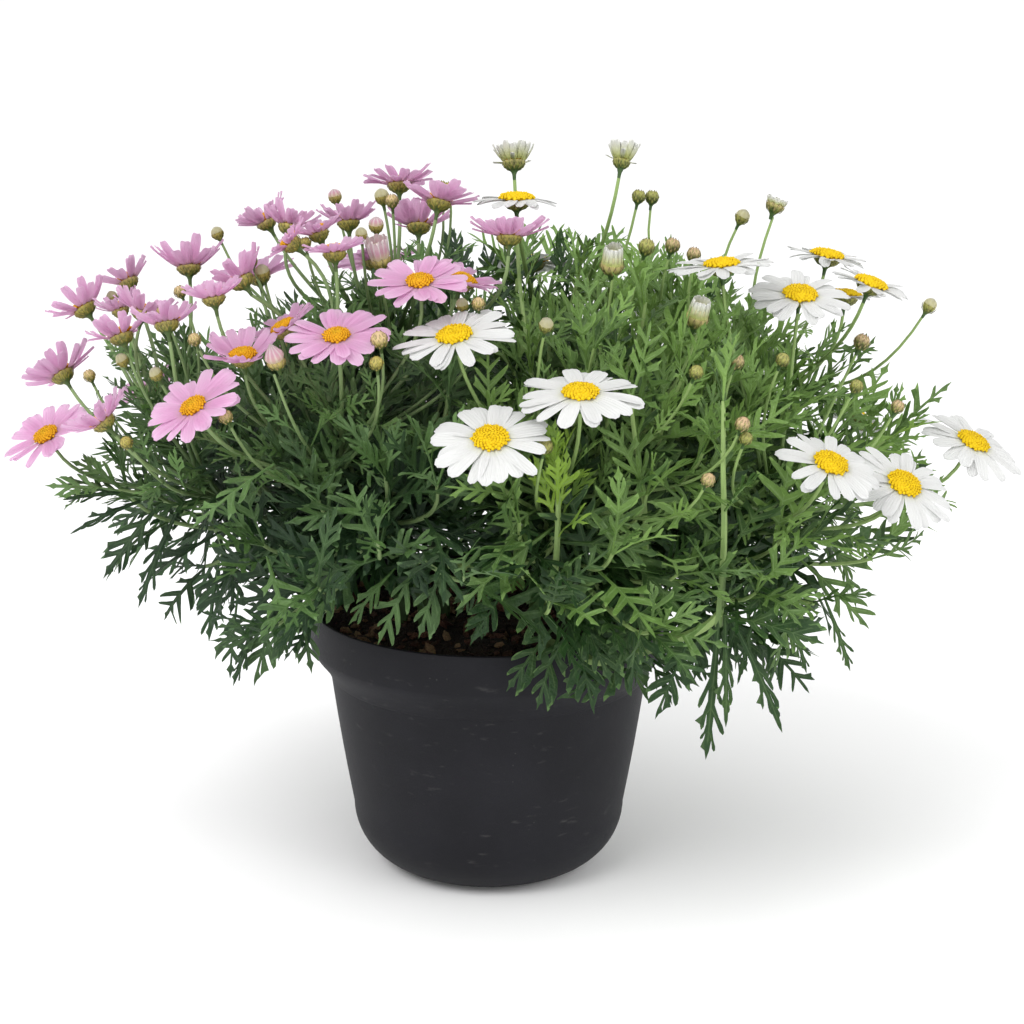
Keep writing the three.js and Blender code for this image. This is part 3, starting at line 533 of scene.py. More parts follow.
LEAF_SHAPES = np.stack([leaf_shape(k) for k in range(COMMON_KINDS + len(SLIM_KINDS + BROAD_KINDS))])
LEAF_QUADS, LEAF_TRIS, LEAF_LOOKS = leaf_faces()


def bent_leaves(leaves):
    """Leaves on arcs: turn = curl * along, forward sin(turn) / curl and down (1 - cos(turn)) / curl."""
    shape = LEAF_SHAPES[leaves["kind"]]
    along, across, above = (shape[..., k] for k in range(3))
    curl = leaves["curl"][:, None]
    curl = np.where(np.abs(curl) < 0.02, 0.02, curl)
    turn, twist = curl * along, leaves["twist"][:, None] * along
    above = above + leaves["fold"][:, None] * np.abs(across)
    lateral = across * np.cos(twist) - above * np.sin(twist)
    above = across * np.sin(twist) + above * np.cos(twist)
    onward = np.sin(turn) / curl + above * np.sin(turn)
    rise = (np.cos(turn) - 1) / curl + above * np.cos(turn)
    forward, up = leaves["forward"][:, None], leaves["up"][:, None]
    side = np.cross(up, forward)
    points = forward * onward[..., None] + up * rise[..., None] + side * lateral[..., None]
    return leaves["root"][:, None] + leaves["length"][:, None, None] * points


def leaf_grain(leaves):
    """Grain of leaves: along in leaf lengths, 0 on rib and lobe middles to 1 at the edge, and a tone."""
    along = LEAF_SHAPES[leaves["kind"]][..., 0]
    edge = np.ones(LEAF_POINTS)
    edge[:TIP] = 0.0
    for first in SIDE_STARTS:
        edge[first + SIDE_POINTS:first + SIDE_POINTS + 2 * LOBES] = 0.0
    return np.stack(np.broadcast_arrays(along, edge, leaves["tone"][:, None]), -1)


# How leaves stand: size at a shoot's tip, and the bend and facing of leaves placed one by one
TIP_LEAF_SIZE = 0.72
HAND_LEAF_CURL, HAND_LEAF_FACE = 0.5, np.array([0.0, -0.75, 0.6])


class LeafRows:
    """Leaves to be placed, one row for each, and the shoots that they stand on."""

    NAMES = ("root", "forward", "up", "length", "curl", "twist", "fold", "tone", "kind", "stem", "free")

    def __init__(self):
        self.rows = {name: [] for name in self.NAMES}
        self.shoots = []

    def add(self, *columns):
        """Adds rows, given as one column of values for each name."""
        for name, column in zip(self.NAMES, columns):
            self.rows[name].extend(column)

    def along(self, path, stem, spacing=10.0, start=0.0, size=52.0, opening=(0.95, 0.42), fresh=0.0,
              lift=0.15, tips=3, free=False):
        """Leaves up a shoot: each turns by the golden angle from the last, and opens less near the tip.

        A leaf faces between the shoot's direction and the light, at random turns about that. It is
        fresher near the tip, and darker inside the mound and low down, where shade is painted into its tone.
        """
        direction, x, y = frames_along(path)
        reached = np.concatenate([[0], np.cumsum(np.linalg.norm(np.diff(path, axis=0), axis=1))])
        total = reached[-1]
        places = np.arange(start + random.uniform(0, spacing), total, spacing)
        places = np.concatenate([places, np.full(tips, total) - random.uniform(0, 2, tips)])
        count = len(places)
        if not count:
            return

        def at_places(values):
            return np.stack([np.interp(places, reached, values[:, k]) for k in range(3)], -1)

        root = at_places(path)
        direction, x, y = (unit(at_places(way)) for way in (direction, x, y))
        turn = np.arange(count) * GOLDEN_ANGLE + random.uniform(0, 6.28) + random.normal(0, 0.25, count)
        near_tip = np.clip(1 - (total - places) / 45, 0, 1)
        angle = opening[0] + (opening[1] - opening[0]) * near_tip + random.normal(0, 0.16, count)
        forward = direction * np.cos(angle)[:, None] + around(turn, x, y) * np.sin(angle)[:, None]
        forward = unit(forward + UP * lift)
        face = direction * 0.5 + LIGHT_WAY * 0.6 + random.normal(0, 0.38, (count, 3))
        face = unit(face - forward * (face * forward).sum(1, keepdims=True))
        length = size * (1 - (1 - TIP_LEAF_SIZE) * near_tip) * random.uniform(0.78, 1.14, count)
        depth = np.linalg.norm((root - MOUND_MIDDLE) / MOUND_REACH, axis=1)
        # Painted shade: the tone drops for leaves deep inside the mound and for leaves low down
        painted_shade = 1.5 * np.clip(PAINTED_SHADE_SHARE - depth, 0, 1)
        painted_shade = painted_shade + 0.75 * np.clip((PAINTED_SHADE_LEVEL - root[:, 2]) / 60, 0, 1)
        tone = fresh + 0.4 * near_tip + random.uniform(-0.05, 0.5, count) - painted_shade
        self.shoots.append((stem, path, len(self.rows["root"]), count, tips))
        self.add(root, forward, face, length, random.uniform(0.2, 1.1, count), random.normal(0, 0.35, count),
                 random.uniform(0.05, 0.5, count), tone, random.integers(0, COMMON_KINDS, count),
                 [stem] * count, [free] * count)

    def placed(self, stem, root, tip, tone, kind):
        """One leaf on an arc from its root to its tip, with its upper side to the front and up."""
        chord = np.subtract(tip, root).astype(float)
        length = np.linalg.norm(chord)
        chord /= length
        up = unit(HAND_LEAF_FACE - chord * (chord @ HAND_LEAF_FACE))
        forward = chord * math.cos(HAND_LEAF_CURL / 2) + up * math.sin(HAND_LEAF_CURL / 2)
        up = up * math.cos(HAND_LEAF_CURL / 2) - chord * math.sin(HAND_LEAF_CURL / 2)
        row = (np.array(root, float), forward, up, length, HAND_LEAF_CURL, 0.0, 0.15, tone, kind, stem, True)
        self.add(*([value] for value in row))

    def table(self):
        """All rows as one array for each name."""
        return {name: np.array(values) for name, values in self.rows.items()}


# Scales and florets: small closed shapes that are repeated
def scale_shape():
    """Pointed scale of length 1: six outline points and a ridge point on each face, joined by fans."""
    outline = [(0, 0.0), (0.22, 0.2), (0.62, 0.24), (1, 0.0), (0.62, -0.24), (0.22, -0.2)]
    points = np.array([(a, b, 0.0) for a, b in outline] + [(0.45, 0, 0.055), (0.45, 0, -0.02)])
    over = [[6, k, (k + 1) % 6][::-1] for k in range(6)]
    under = [[7, k, (k + 1) % 6] for k in range(6)]
    return points, over + under


SCALE_POINTS, SCALE_TRIS = scale_shape()


def add_scales(shells, origin, axis, rows, look, tone, up, out):
    """Rings of scales on a turned body. A row is count, foot and tip as (height, radius), width.

    Heights are scaled by `up`, radii and widths by `out`. A scale bulges by half a sine wave.
    """
    x, y = axes_of(axis)
    for row, (count, foot, tip, width) in enumerate(rows):
        angle = (np.arange(count) + 0.5 * row) * 2 * math.pi / count + random.normal(0, 0.05, count)
        outward = around(angle, x, y)
        foot_at = origin + foot[0] * up * axis + foot[1] * out * outward
        tip_radius = tip[1] * out + random.uniform(-0.1, 0.35, count)
        forward = origin + tip[0] * up * axis + tip_radius[:, None] * outward - foot_at
        side = np.cross(axis, outward)
        normal = unit(np.cross(forward, side))
        normal = normal * np.sign((normal * outward).sum(1, keepdims=True))
        bulge = SCALE_POINTS[:, 2] * 8 + 0.35 * np.sin(math.pi * SCALE_POINTS[:, 0])
        points = foot_at[:, None] + SCALE_POINTS[:, 0, None] * forward[:, None]
        points = points + SCALE_POINTS[:, 1, None] * (width * out) * side[:, None] * 2
        points = points + bulge[:, None] * normal[:, None] * 0.8
        grain = np.stack([0.35 + 0.6 * SCALE_POINTS[:, 0], (np.arange(8) < 6) * 1.0, np.full(8, tone)], -1)
        shells.add(points, grain, (), SCALE_TRIS, (look, look))


FLORET_DOME = 3.0


def add_florets(shells, origin, axis, radius, count):
    """Florets on a dome in Vogel's spiral: radius grows with the root of the number.

    Each is a ring of five points, with a tip above it and a foot below.
    """
    x, y = axes_of(axis)
    number = np.arange(count)
    share = np.sqrt((number + 0.5) / count)
    out = around(number * GOLDEN_ANGLE, x, y)
    level = FLORET_DOME * np.sqrt(np.maximum(1.03 - share**2, 0.0)) ** 0.9
    foot = origin + (radius * 0.84 * share)[:, None] * out + (0.9 + level)[:, None] * axis
    normal = unit(out * (share * 1.15)[:, None] + axis * (1.06 - share**2)[:, None] ** 0.5)
    side = unit(np.cross(normal, out + 0.01 * axis))
    size = radius * 0.098 * (0.78 + 0.3 * share) * random.uniform(0.85, 1.15, count)
    circle = around(even_angles(5), side[:, None], np.cross(normal, side)[:, None])
    ring = foot[:, None] + size[:, None, None] * circle + (size * 0.45)[:, None, None] * normal[:, None]
    top = foot + normal * (size * random.uniform(0.9, 1.7, count))[:, None]
    low = foot - normal * size[:, None]
    points = np.concatenate([ring, top[:, None], low[:, None]], axis=1)
    tris = [[5, j, (j + 1) % 5] for j in range(5)] + [[6, (j + 1) % 5, j] for j in range(5)]
    grain = np.zeros((count, 7, 3))
    grain[..., 0] = share[:, None]
    grain[:, :5, 1], grain[:, 5, 1] = 0.55, 1.0
    grain[..., 2] = random.random(count)[:, None]
    shells.add(points, grain, (), tris)


# Rays: rings of eight points at stations along the ray, five over its upper side and three below
RAY_SIDES = 8
RAY_STATIONS = np.array([0.0, 0.1, 0.27, 0.48, 0.68, 0.84, 0.94, 1.0])
RAY_WIDTHS = np.array([0.46, 0.64, 0.86, 0.98, 1.0, 0.96, 0.84, 0.56])
RAY_ACROSS = np.array([-1.0, -0.5, 0.0, 0.5, 1.0, 0.5, 0.0, -0.5])
RAY_OVER = np.array([0.0, 1.0, 1.0, 1.0, 0.0, -1.0, -1.0, -1.0])


def ray_faces():
    """Quads along a ray's rings, and flat ends."""
    body = ring_quads(len(RAY_STATIONS), RAY_SIDES)[:, [0, 3, 2, 1]]
    foot_quads, foot_tris = [[1, 2, 6, 7], [2, 3, 5, 6]], [[0, 1, 7], [3, 4, 5]]
    end = RAY_SIDES * (len(RAY_STATIONS) - 1)
    end_quads, end_tris = (
        [[end + c for c in face[::-1]] for face in feet] for feet in (foot_quads, foot_tris))
    return np.concatenate([body, foot_quads, end_quads]), np.array(foot_tris + end_tris)


RAY_QUADS, RAY_TRIS = ray_faces()


def add_rays(shells, origin, axis, eye, reach, lift, turns, width, droop=0.0, cup=0.5, ragged=1.0, look=0,
             base=0.35, tone=0.0):
    """Rays round an eye at the given turns: out by r, up by rise * t^1.25 - droop * t^2, overlapping.

    Each ray has its own rise, length, bend and roll about its middle line, is hollow across, and has
    a notched end. Every other ray lies in an upper layer.
    """
    x, y = axes_of(axis)
    count = len(turns)
    every = (count, 1, 1)
    t, across = RAY_STATIONS[None, :, None], RAY_ACROSS[None, None, :]

    def varied(spread):
        return random.normal(0, spread * ragged, every)

    layer = (np.arange(count) % 2)[:, None, None] * 0.5
    angle = turns + random.normal(0, 0.11 * ragged, count)
    reach = reach * (1 + varied(0.04))
    rise = lift * (1 - ragged * random.choice([0.0, 0.1, 0.2, 0.3, 0.5], every)) + varied(0.4)
    lateral = width * random.uniform(0.9, 1.08, every) / 2 * RAY_WIDTHS[None, :, None] * across
    notch = 0.5 * np.clip((t - 0.86) / 0.14, 0, 1) * (np.cos(across * 2 * math.pi) * -0.6 - 0.6 * across**2)
    foot = eye * 0.76
    r = foot + (reach - foot) * t + notch + 0.25 * (across == 0) * (t > 0.97)
    height = rise * t**1.25 - (droop + varied(0.8)) * t**2
    roll = 0.03 + varied(0.07) + varied(0.14) * t
    channel = cup * (across**2 - 0.3) * (0.4 + 0.6 * t) + 0.13 * np.cos(across * 4 * math.pi)
    above = base + layer + height + roll * lateral + channel + 0.17 * RAY_OVER[None, None, :]
    aside = lateral + varied(0.7) * t**2
    out = around(angle, x, y)
    side = np.cross(axis, out)
    points = (origin + r[..., None] * out[:, None, None] + aside[..., None] * side[:, None, None]
              + above[..., None] * axis)
    grain = np.stack(np.broadcast_arrays(t, across, random.random(every) + tone), -1)
    shells.add(points.reshape(count, -1, 3), grain.reshape(count, -1, 3), RAY_QUADS, RAY_TRIS, (look, look))


# Ends of a solid's rays: half their width and thickness. Rays of small blooms narrow with the bloom:
# if their corners lie less far from the axis than this, that distance is a fixed share over half a width
SOLID_RAY_HALF_WIDTH, SOLID_RAY_HALF_THICKNESS = 4.3, 0.65
SMALL_BLOOM_CORNER, SMALL_CORNER_SHARE = 19.58, 1.02503


def bloom_form(node):
    """Place, axis, half width and rise of a bloom, from its solid's points.

    The axis is the main direction whose spread stands apart from the other two.
    """
    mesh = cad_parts[node].data
    points = np.empty(len(mesh.vertices) * 3)
    mesh.vertices.foreach_get("co", points)
    points = np.unique(np.round(points.reshape(-1, 3) * MILLIMETRES, 2), axis=0)
    middle = points.mean(0)
    spread, ways = np.linalg.eigh(np.cov((points - middle).T))
    axis = ways[:, 0 if spread[1] - spread[0] > spread[2] - spread[1] else 2]
    axis = axis * np.sign(axis[2])
    height = (points - middle) @ axis
    away = np.linalg.norm(points - middle - height[:, None] * axis, axis=1)
    foot, corner = height[away < 1.0].min(), away.max()
    if corner < SMALL_BLOOM_CORNER:
        half = corner / SMALL_CORNER_SHARE
    else:
        half = math.sqrt(corner**2 - SOLID_RAY_HALF_WIDTH**2)
    lift = height[away > 0.85 * corner].mean() - foot - SOLID_RAY_HALF_THICKNESS
    return middle + foot * axis, axis, half, lift


# Blooms of both plants: how many, how many of them the photograph shows, and the radius of a full eye
BLOOMS = {"pink": (32, 28, 7.6), "white": (18, 14, 8.6)}
NECK = 9.0
blooms = []
for colour, (count, shown, full_eye) in BLOOMS.items():
    for number in range(1, count + 1):
        node = f"bloom_{colour}_{number:02d}"
        place, axis, half, lift = bloom_form(node)
        blooms.append({"node": node, "colour": colour, "place": place, "axis": axis, "half": half,
                       "lift": lift, "seen": number <= shown, "eye": min(full_eye, 0.47 * half)})
bloom_places, bloom_axes, bloom_halves, bloom_lifts = (
    np.array([bloom[key] for bloom in blooms]) for key in ("place", "axis", "half", "lift"))

# Buds: x, y, z of the tip, width, and c cream, p pink-tipped, g green or s spent
PINK_BUDS = [
    (-143, 25, 341, 6.5, "c"), (-81, 30, 360, 7, "p"), (-55, -14, 368, 7.5, "c"), (-49, -24, 367, 6.5, "s"),
    (-25, 16, 367, 6.5, "g"), (-20, 2, 369, 6, "g"), (-113, -60, 338, 7.5, "c"), (-120, -40, 339, 6, "s"),
    (-56, -50, 360, 7.5, "p"), (-63, -62, 357, 6, "c"), (-92, -50, 350, 6, "g"), (-156, -44, 324, 6, "s"),
    (-142, -118, 316, 6, "s"), (-184, -66, 294, 6.5, "c"), (-164, -96, 294, 6.5, "c"),
    (-203, -45, 281, 6, "s"), (-199, 24, 307, 6, "c"), (-165, -45, 314, 6, "s"), (-52, -146, 323, 8, "s"),
    (-53, -150, 312, 6.5, "g"), (-126, -142, 284, 6.5, "s"), (-177, -116, 264, 6, "g"),
    (-5, -120, 334, 6, "s"), (-13, -112, 332, 6, "c"),
]
WHITE_BUDS = [
    (79, -60, 351, 8, "g"), (79, 30, 360, 7, "g"), (86, 34, 359, 7, "g"), (94, -26, 345, 7.5, "s"),
    (104, -30, 341, 7, "s"), (134, 25, 350, 7.5, "c"), (230, 0, 308, 7.5, "c"), (191, -34, 297, 8, "s"),
    (120, -118, 306, 7.5, "s"), (121, -148, 282, 7, "s"), (123, -145, 274, 6, "g"),
    (144, -100, 302, 6.5, "g"), (100, -130, 303, 6.5, "g"), (28, -125, 325, 7, "c"), (27, -170, 277, 7, "g"),
    (104, -165, 259, 6.5, "s"), (206, -65, 270, 6.5, "s"), (183, -80, 284, 6.5, "g"),
]
# Half-open buds: x, y, z, width, height of the rays and their reach in widths, 0 where they are closed
TUFTS = {
    "pink": [(-56, -62, 352, 11, 11, 0.52), (-103, -143, 317, 9.5, 9.5, 0)],
    "white": [(61, -84, 352, 12.5, 9.5, 0.34), (103, -104, 330, 12.5, 9.5, 0.34),
              (150, 20, 357, 10.5, 3, 0.52)],
}

# Cups as profiles of (height, radius), and their rings of scales as count, foot, tip and width
BLOOM_NECK = [(-9.5, 0.85), (-6.6, 1.05), (-5.4, 1.5)]
BLOOM_CUP = [(-4.4, 0.4), (-3.1, 0.72), (-1.9, 0.9), (-0.7, 0.98), (0.1, 1.0), (0.6, 0.9)]
BLOOM_SCALES = [(9, (-4.6, 0.34), (-1.7, 0.96), 0.2), (12, (-3.6, 0.62), (-0.6, 1.04), 0.2),
                (15, (-2.1, 0.9), (0.5, 1.03), 0.16)]
BUD_CUP = [(-1.2, 0.12), (-1.02, 0.24), (-0.78, 0.41), (-0.5, 0.49), (-0.25, 0.44), (-0.08, 0.26)]
BUD_SCALES = [(6, (-1.06, 0.22), (-0.64, 0.5), 0.17), (8, (-0.9, 0.36), (-0.42, 0.53), 0.16),
              (9, (-0.7, 0.46), (-0.2, 0.46), 0.16), (8, (-0.45, 0.45), (0.04, 0.2), 0.15)]
BUD_DOME = [(-0.62, 0.42), (-0.42, 0.47), (-0.2, 0.4), (-0.05, 0.24), (0.03, 0.07)]
BUD_TONES = {"c": 0.45, "p": 0.5, "g": 0.1, "s": 1.0}
TUFT_CUP = [(-0.56, 0.12), (-0.42, 0.24), (-0.26, 0.39), (-0.08, 0.46), (0.06, 0.42)]
TUFT_SCALES = [(8, (-0.46, 0.24), (-0.12, 0.48), 0.1), (11, (-0.34, 0.36), (0.1, 0.5), 0.1)]
CLOSED_TUFT = [(0.05, 0.42), (0.22, 0.49), (0.45, 0.42), (0.7, 0.25), (0.9, 0.1), (1.0, 0.02)]
OPEN_TUFT = [(0.3, 0.4), (0.55, 0.38), (0.68, 0.2)]

# Places of the looks in a foliage piece, after those of the leaf's two faces, and in a piece of bud tips
STEM, CUP = 2, 3
CREAM_TIP, STRIPED_TIP = 0, 2


def stem_path(name):
    """A stem's own curve: upright out of its hole, then out into its part of the bush."""
    hole, end = STEMS[name]
    foot, tip = np.array([*hole, SOIL_TOP + STEM_STRAIGHT], float), np.array(end, float)
    back = tip + 0.34 * (foot - tip) - 6 * UP
    return bezier((foot, foot + 30 * UP, back, tip), np.linspace(0, 1, 30))


stem_paths = {name: stem_path(name) for name in STEMS}
greens = {name: Shells() for name in STEMS}
bud_tips = {"pink": Shells(), "white": Shells()}
leaves = LeafRows()


def inside_blooms(points, margin, skip=None):
    """Whether points lie in the short drum that the rays of a bloom fill, with a margin round it."""
    offset = points[..., None, :] - bloom_places
    height = (offset * bloom_axes).sum(-1)
    away = np.linalg.norm(offset - height[..., None] * bloom_axes, axis=-1)
    hit = (away < bloom_halves + margin) & (height > -6 - margin) & (height < bloom_lifts + 4 + margin)
    if skip is not None:
        hit[..., skip] = False
    return hit.any(-1)


def nearest_stem(tip, colour):
    """The stem of that plant whose end is nearest to a tip."""
    names = [name for name in STEMS if name.startswith(colour)]
    return min(names, key=lambda name: np.linalg.norm(np.array(STEMS[name][1]) - tip))


def shoot_path(stem, tip, axis, skip=None, reach=95.0, hold=0.34):
    """Shoot from its stem to a tip met along `axis`; of a few bends, the one that crosses no bloom."""
    path = stem_paths[stem][14:]
    fork = np.argmin(np.abs(np.linalg.norm(path - tip, axis=1) - reach))
    start, along = path[fork], unit(np.gradient(path, axis=0))[fork]
    length = np.linalg.norm(tip - start)
    towards = unit(tip - start)
    side = unit(np.cross(towards, UP) + 1e-6)
    fewest = None
    for bend, angle in [(0, 0)] + [(b, a) for b in (8, 16, 28, 42) for a in np.arange(0, 6.2, 0.9)]:
        shift = bend * (math.cos(angle) * side + math.sin(angle) * np.cross(side, towards))
        first = start + along * length * 0.1 + towards * length * 0.28 + shift
        curve = bezier((start, first, tip - axis * length * hold + shift, tip), np.linspace(0, 1, 16))
        crossed = inside_blooms(curve, 0.0, skip).sum()
        if fewest is None or crossed < fewest:
            fewest, best = crossed, curve
        if not crossed:
            break
    return best


def bloom_stalk(index, bloom):
    """Stalk and green cup of a bloom, with leaves up the lower part of the stalk."""
    place, axis, wide = bloom["place"], bloom["axis"], 0.8 * bloom["eye"]
    stem = nearest_stem(place, bloom["colour"])
    path = shoot_path(stem, place - axis * NECK, axis, index)
    tone = random.uniform(0.3, 0.7)
    add_tube(greens[stem], path, (1.25, 0.9), 7, STEM, tone, (0.1, 0.9), 0.05)
    add_turned(greens[stem], place, axis, BLOOM_NECK + scaled(BLOOM_CUP, 1, wide), 18, CUP, tone)
    add_scales(greens[stem], place, axis, BLOOM_SCALES, CUP, tone, 1, wide)
    leaves.along(path[:12], stem, spacing=13, start=6, size=38, tips=0, fresh=0.2, opening=(0.8, 0.55))


def bud_stalk(colour, tip, width):
    """Thin stalk from the nearest stem, with a few small leaves; gives the stem and the bud's axis."""
    axis = unit(unit(tip - np.array([0.0, 0.0, 60.0])) + 0.5 * UP + random.normal(0, 0.09, 3))
    stem = nearest_stem(tip, colour)
    path = shoot_path(stem, tip - axis * width * 1.1, axis, hold=0.52)
    add_tube(greens[stem], path, (1.1, 0.7), 6, STEM, 0.5, (0.1, 0.9))
    leaves.along(path[:12], stem, spacing=14, start=8, size=34, tips=0, fresh=0.25, opening=(0.8, 0.5))
    return stem, axis


def closed_bud(colour, x, y, z, width, sort):
    """Bud on a flared neck: rows of scales up to its top, or cream rays closed over it."""
    tip = np.array([x, y, z], float)
    stem, axis = bud_stalk(colour, tip, width)
    shows_rays = sort in "cp"
    tone = BUD_TONES[sort] * random.uniform(0.8, 1.0)
    cup = [(-1.3 * width - 1.5, 0.75)] + scaled(BUD_CUP, width, width)
    add_turned(greens[stem], tip, axis, cup[:5] if shows_rays else cup, 12, CUP, tone)
    if shows_rays:
        look = STRIPED_TIP if sort == "p" else CREAM_TIP
        add_turned(bud_tips[colour], tip, axis, scaled(BUD_DOME, width, width), 16, look, tone, ribs=0.06)
    scales = BUD_SCALES[:2] if shows_rays else BUD_SCALES
    add_scales(greens[stem], tip, axis, scales, CUP, tone, width, width)


def half_open_bud(colour, x, y, z, width, height, reach):
    """Small cup of scales round rays that are closed to a striped egg, or stand up in a ring."""
    tip = np.array([x, y, z], float)
    stem, axis = bud_stalk(colour, tip - UP * height, width * 0.6)
    place = tip - axis * height
    cup = [(-0.62 * width - 2, 0.8)] + scaled(TUFT_CUP, width, width)
    add_turned(greens[stem], place, axis, cup, 14, CUP, 0.6)
    add_scales(greens[stem], place, axis, TUFT_SCALES, CUP, 0.8, width, width)
    core = [(-1.0, 0.3 * width)] + scaled(OPEN_TUFT if reach else CLOSED_TUFT, height, width)
    if reach:
        add_turned(bud_tips[colour], place, axis, core, 14, CREAM_TIP)
        add_rays(bud_tips[colour], place, axis, 0.55 * width, reach * width, height, even_angles(14),
                 0.29 * width, ragged=0.3, cup=0.3, look=STRIPED_TIP, base=-0.3)
    else:
        add_turned(bud_tips[colour], place, axis, core, 20, STRIPED_TIP, ribs=0.05)


for name, path in stem_paths.items():
    path = np.concatenate([path[:1] - UP * STEM_DEPTH, path])
    add_tube(greens[name], path, (STEM_RADIUS, STEM_END_RADIUS), 10, STEM, 0.2, (0.0, 0.4), 0.06)
for index, bloom in enumerate(blooms):
    bloom_stalk(index, bloom)
for colour, buds in (("pink", PINK_BUDS), ("white", WHITE_BUDS)):
    for bud in buds:
        closed_bud(colour, *bud)
    for bud in TUFTS[colour]:
        half_open_bud(colour, *bud)

# Shoots seen one by one in front: stem, points on the way, end radii, and how their leaves stand
HAND_SHOOTS = [
    ("white_front", [(26, -60, 160), (30, -112, 182), (32, -140, 206), (33, -147, 236), (32, -149, 254)],
     (2.2, 1.0), dict(start=108, spacing=3.2, size=38, fresh=1.25, opening=(0.55, 0.14), tips=5)),
    ("white_right", [(30, -50, 138), (56, -92, 142), (82, -113, 156), (104, -126, 170), (113, -131, 180)],
     (2.8, 1.9), dict(start=90, spacing=60, size=40, tips=1)),
    ("white_right",
     [(112, -130, 173), (113, -133, 198), (113, -138, 226), (112, -136, 256), (112, -130, 286)],
     (2.0, 1.0), dict(start=12, spacing=14, size=50, fresh=0.1, opening=(0.8, 0.25))),
    ("white_right", [(76, -100, 176), (77, -112, 198), (75, -124, 236), (70, -126, 268), (68, -120, 287)],
     (1.6, 0.9), dict(start=30, spacing=15, size=56, fresh=0.2, opening=(1.0, 0.4))),
    ("white_front", [(-48, -60, 184), (-25, -92, 193), (1, -104, 195), (26, -106, 201), (33, -114, 216)],
     (2.1, 1.4), dict(start=500, tips=0)),
    ("pink_left", [(-140, -48, 214), (-158, -56, 213), (-171, -60, 220), (-187, -63, 223)],
     (1.4, 0.8), dict(start=12, spacing=9, size=46, fresh=0.1, opening=(0.7, 0.3))),
    ("white_far_right", [(150, 64, 196), (178, 52, 206), (200, 44, 214)],
     (1.3, 0.8), dict(start=8, spacing=8, size=46, fresh=0.1, opening=(0.8, 0.3))),
    ("white_far_right", [(136, 44, 226), (158, 14, 214), (182, -12, 218), (204, -28, 240)],
     (1.6, 0.9), dict(start=10, spacing=9, size=46, fresh=0.35, opening=(0.8, 0.3))),
]
for stem, points, ends, how in HAND_SHOOTS:
    path = through(points, 8 * len(points))
    add_tube(greens[stem], path, ends, 10, STEM, 0.8, (0.4, 1.0), 0.08)
    leaves.along(path, stem, free=True, **how)

# Leaves seen one by one: x, y, z of root and tip, tone, and kind
HAND_LEAVES = {
    "white_front": [
        (32, -141, 227, -15, -168, 194, 0.5, 0), (33, -141, 219, 83, -150, 215, 0.3, 1),
        (32, -143, 234, 74, -160, 231, 0.4, 5), (24, -112, 205, 25, -136, 158, 0.1, 10),
        (6, -92, 184, -9, -114, 158, 0.1, 1), (36, -96, 166, 9, -114, 134, 0.1, 11),
        (37, -98, 164, 24, -118, 126, 0.1, 11), (38, -116, 190, 60, -128, 143, 0.1, 11),
        (14, -114, 196, -8, -134, 166, 0.0, 10), (40, -104, 172, 52, -124, 126, 0.0, 10),
        (20, -112, 200, 48, -134, 178, 0.3, 3),
    ],
    "white_right": [
        (52, -108, 175, 79, -124, 132, 0.1, 10), (78, -112, 148, 34, -118, 131, 0.2, 10),
        (112, -128, 233, 70, -152, 228, 0.7, 4), (89, -125, 194, 76, -142, 172, 0.5, 0),
        (112, -131, 177, 107, -134, 106, 0.1, 8), (118, -130, 178, 144, -134, 120, 0.1, 9),
        (113, -131, 179, 162, -142, 168, 0.2, 11), (115, -130, 180, 116, -140, 125, 0.2, 9),
        (145, -121, 184, 156, -127, 148, 0.2, 8), (99, -124, 166, 82, -132, 126, -0.1, 10),
        (131, -124, 182, 122, -132, 144, 0.1, 9), (156, -80, 192, 191, -88, 158, 0.5, 2),
        (66, -112, 176, 98, -126, 150, 0.2, 11), (78, -120, 188, 62, -134, 152, 0.2, 10),
    ],
    "pink_front": [
        (-103, -135, 256, -140, -160, 232, 0.7, 0), (-108, -125, 207, -96, -144, 172, 0.9, 3),
        (-95, -95, 180, -88, -110, 142, 0.3, 1), (-46, -112, 197, -68, -130, 174, 0.6, 6),
        (-34, -112, 201, -54, -130, 164, 0.6, 2), (2, -100, 196, -16, -118, 174, 0.2, 1),
        (-60, -104, 200, -92, -124, 168, 0.5, 10), (-88, -96, 186, -112, -112, 150, 0.3, 11),
        (-20, -112, 206, -34, -132, 168, 0.4, 11),
    ],
    "pink_left": [
        (-125, -90, 180, -129, -106, 138, 0.2, 5), (-112, -85, 172, -128, -100, 132, 0.1, 8),
        (-104, -84, 178, -118, -94, 130, 0.4, 10), (-176, -60, 221, -214, -70, 220, 0.1, 8),
        (-170, -60, 219, -210, -76, 204, 0.0, 9), (-164, -58, 217, -195, -70, 179, 0.1, 1),
        (-157, -56, 213, -178, -68, 163, 0.0, 8),
    ],
    "white_far_right": [
        (166, -98, 180, 180, -106, 142, 0.2, 8), (203, -27, 238, 236, -30, 271, 0.5, 0),
        (200, -26, 232, 246, -45, 219, 0.5, 1), (204, -28, 239, 208, -36, 272, 0.6, 4),
        (192, -20, 226, 222, -38, 202, 0.4, 3),
    ],
    "pink_back": [
        (6, 60, 295, -3, 70, 324, 0.1, 10), (-10, 60, 294, -20, 72, 332, 0.0, 11),
        (13, 70, 294, 10, 80, 322, 0.1, 10), (-1, 50, 302, -16, 58, 318, 0.0, 1),
        (6, 40, 300, 18, 44, 318, 0.0, 10), (0, 56, 290, 22, 62, 312, 0.0, 2),
    ],
    "white_back": [
        (22, 62, 296, 24, 72, 322, 0.1, 10), (36, 58, 300, 43, 64, 333, 0.1, 11),
        (38, 56, 300, 57, 62, 329, 0.1, 8), (44, 64, 294, 34, 70, 325, 0.1, 9),
    ],
}
for stem, rows in HAND_LEAVES.items():
    for row in rows:
        leaves.placed(stem, row[:3], row[3:6], *row[6:])

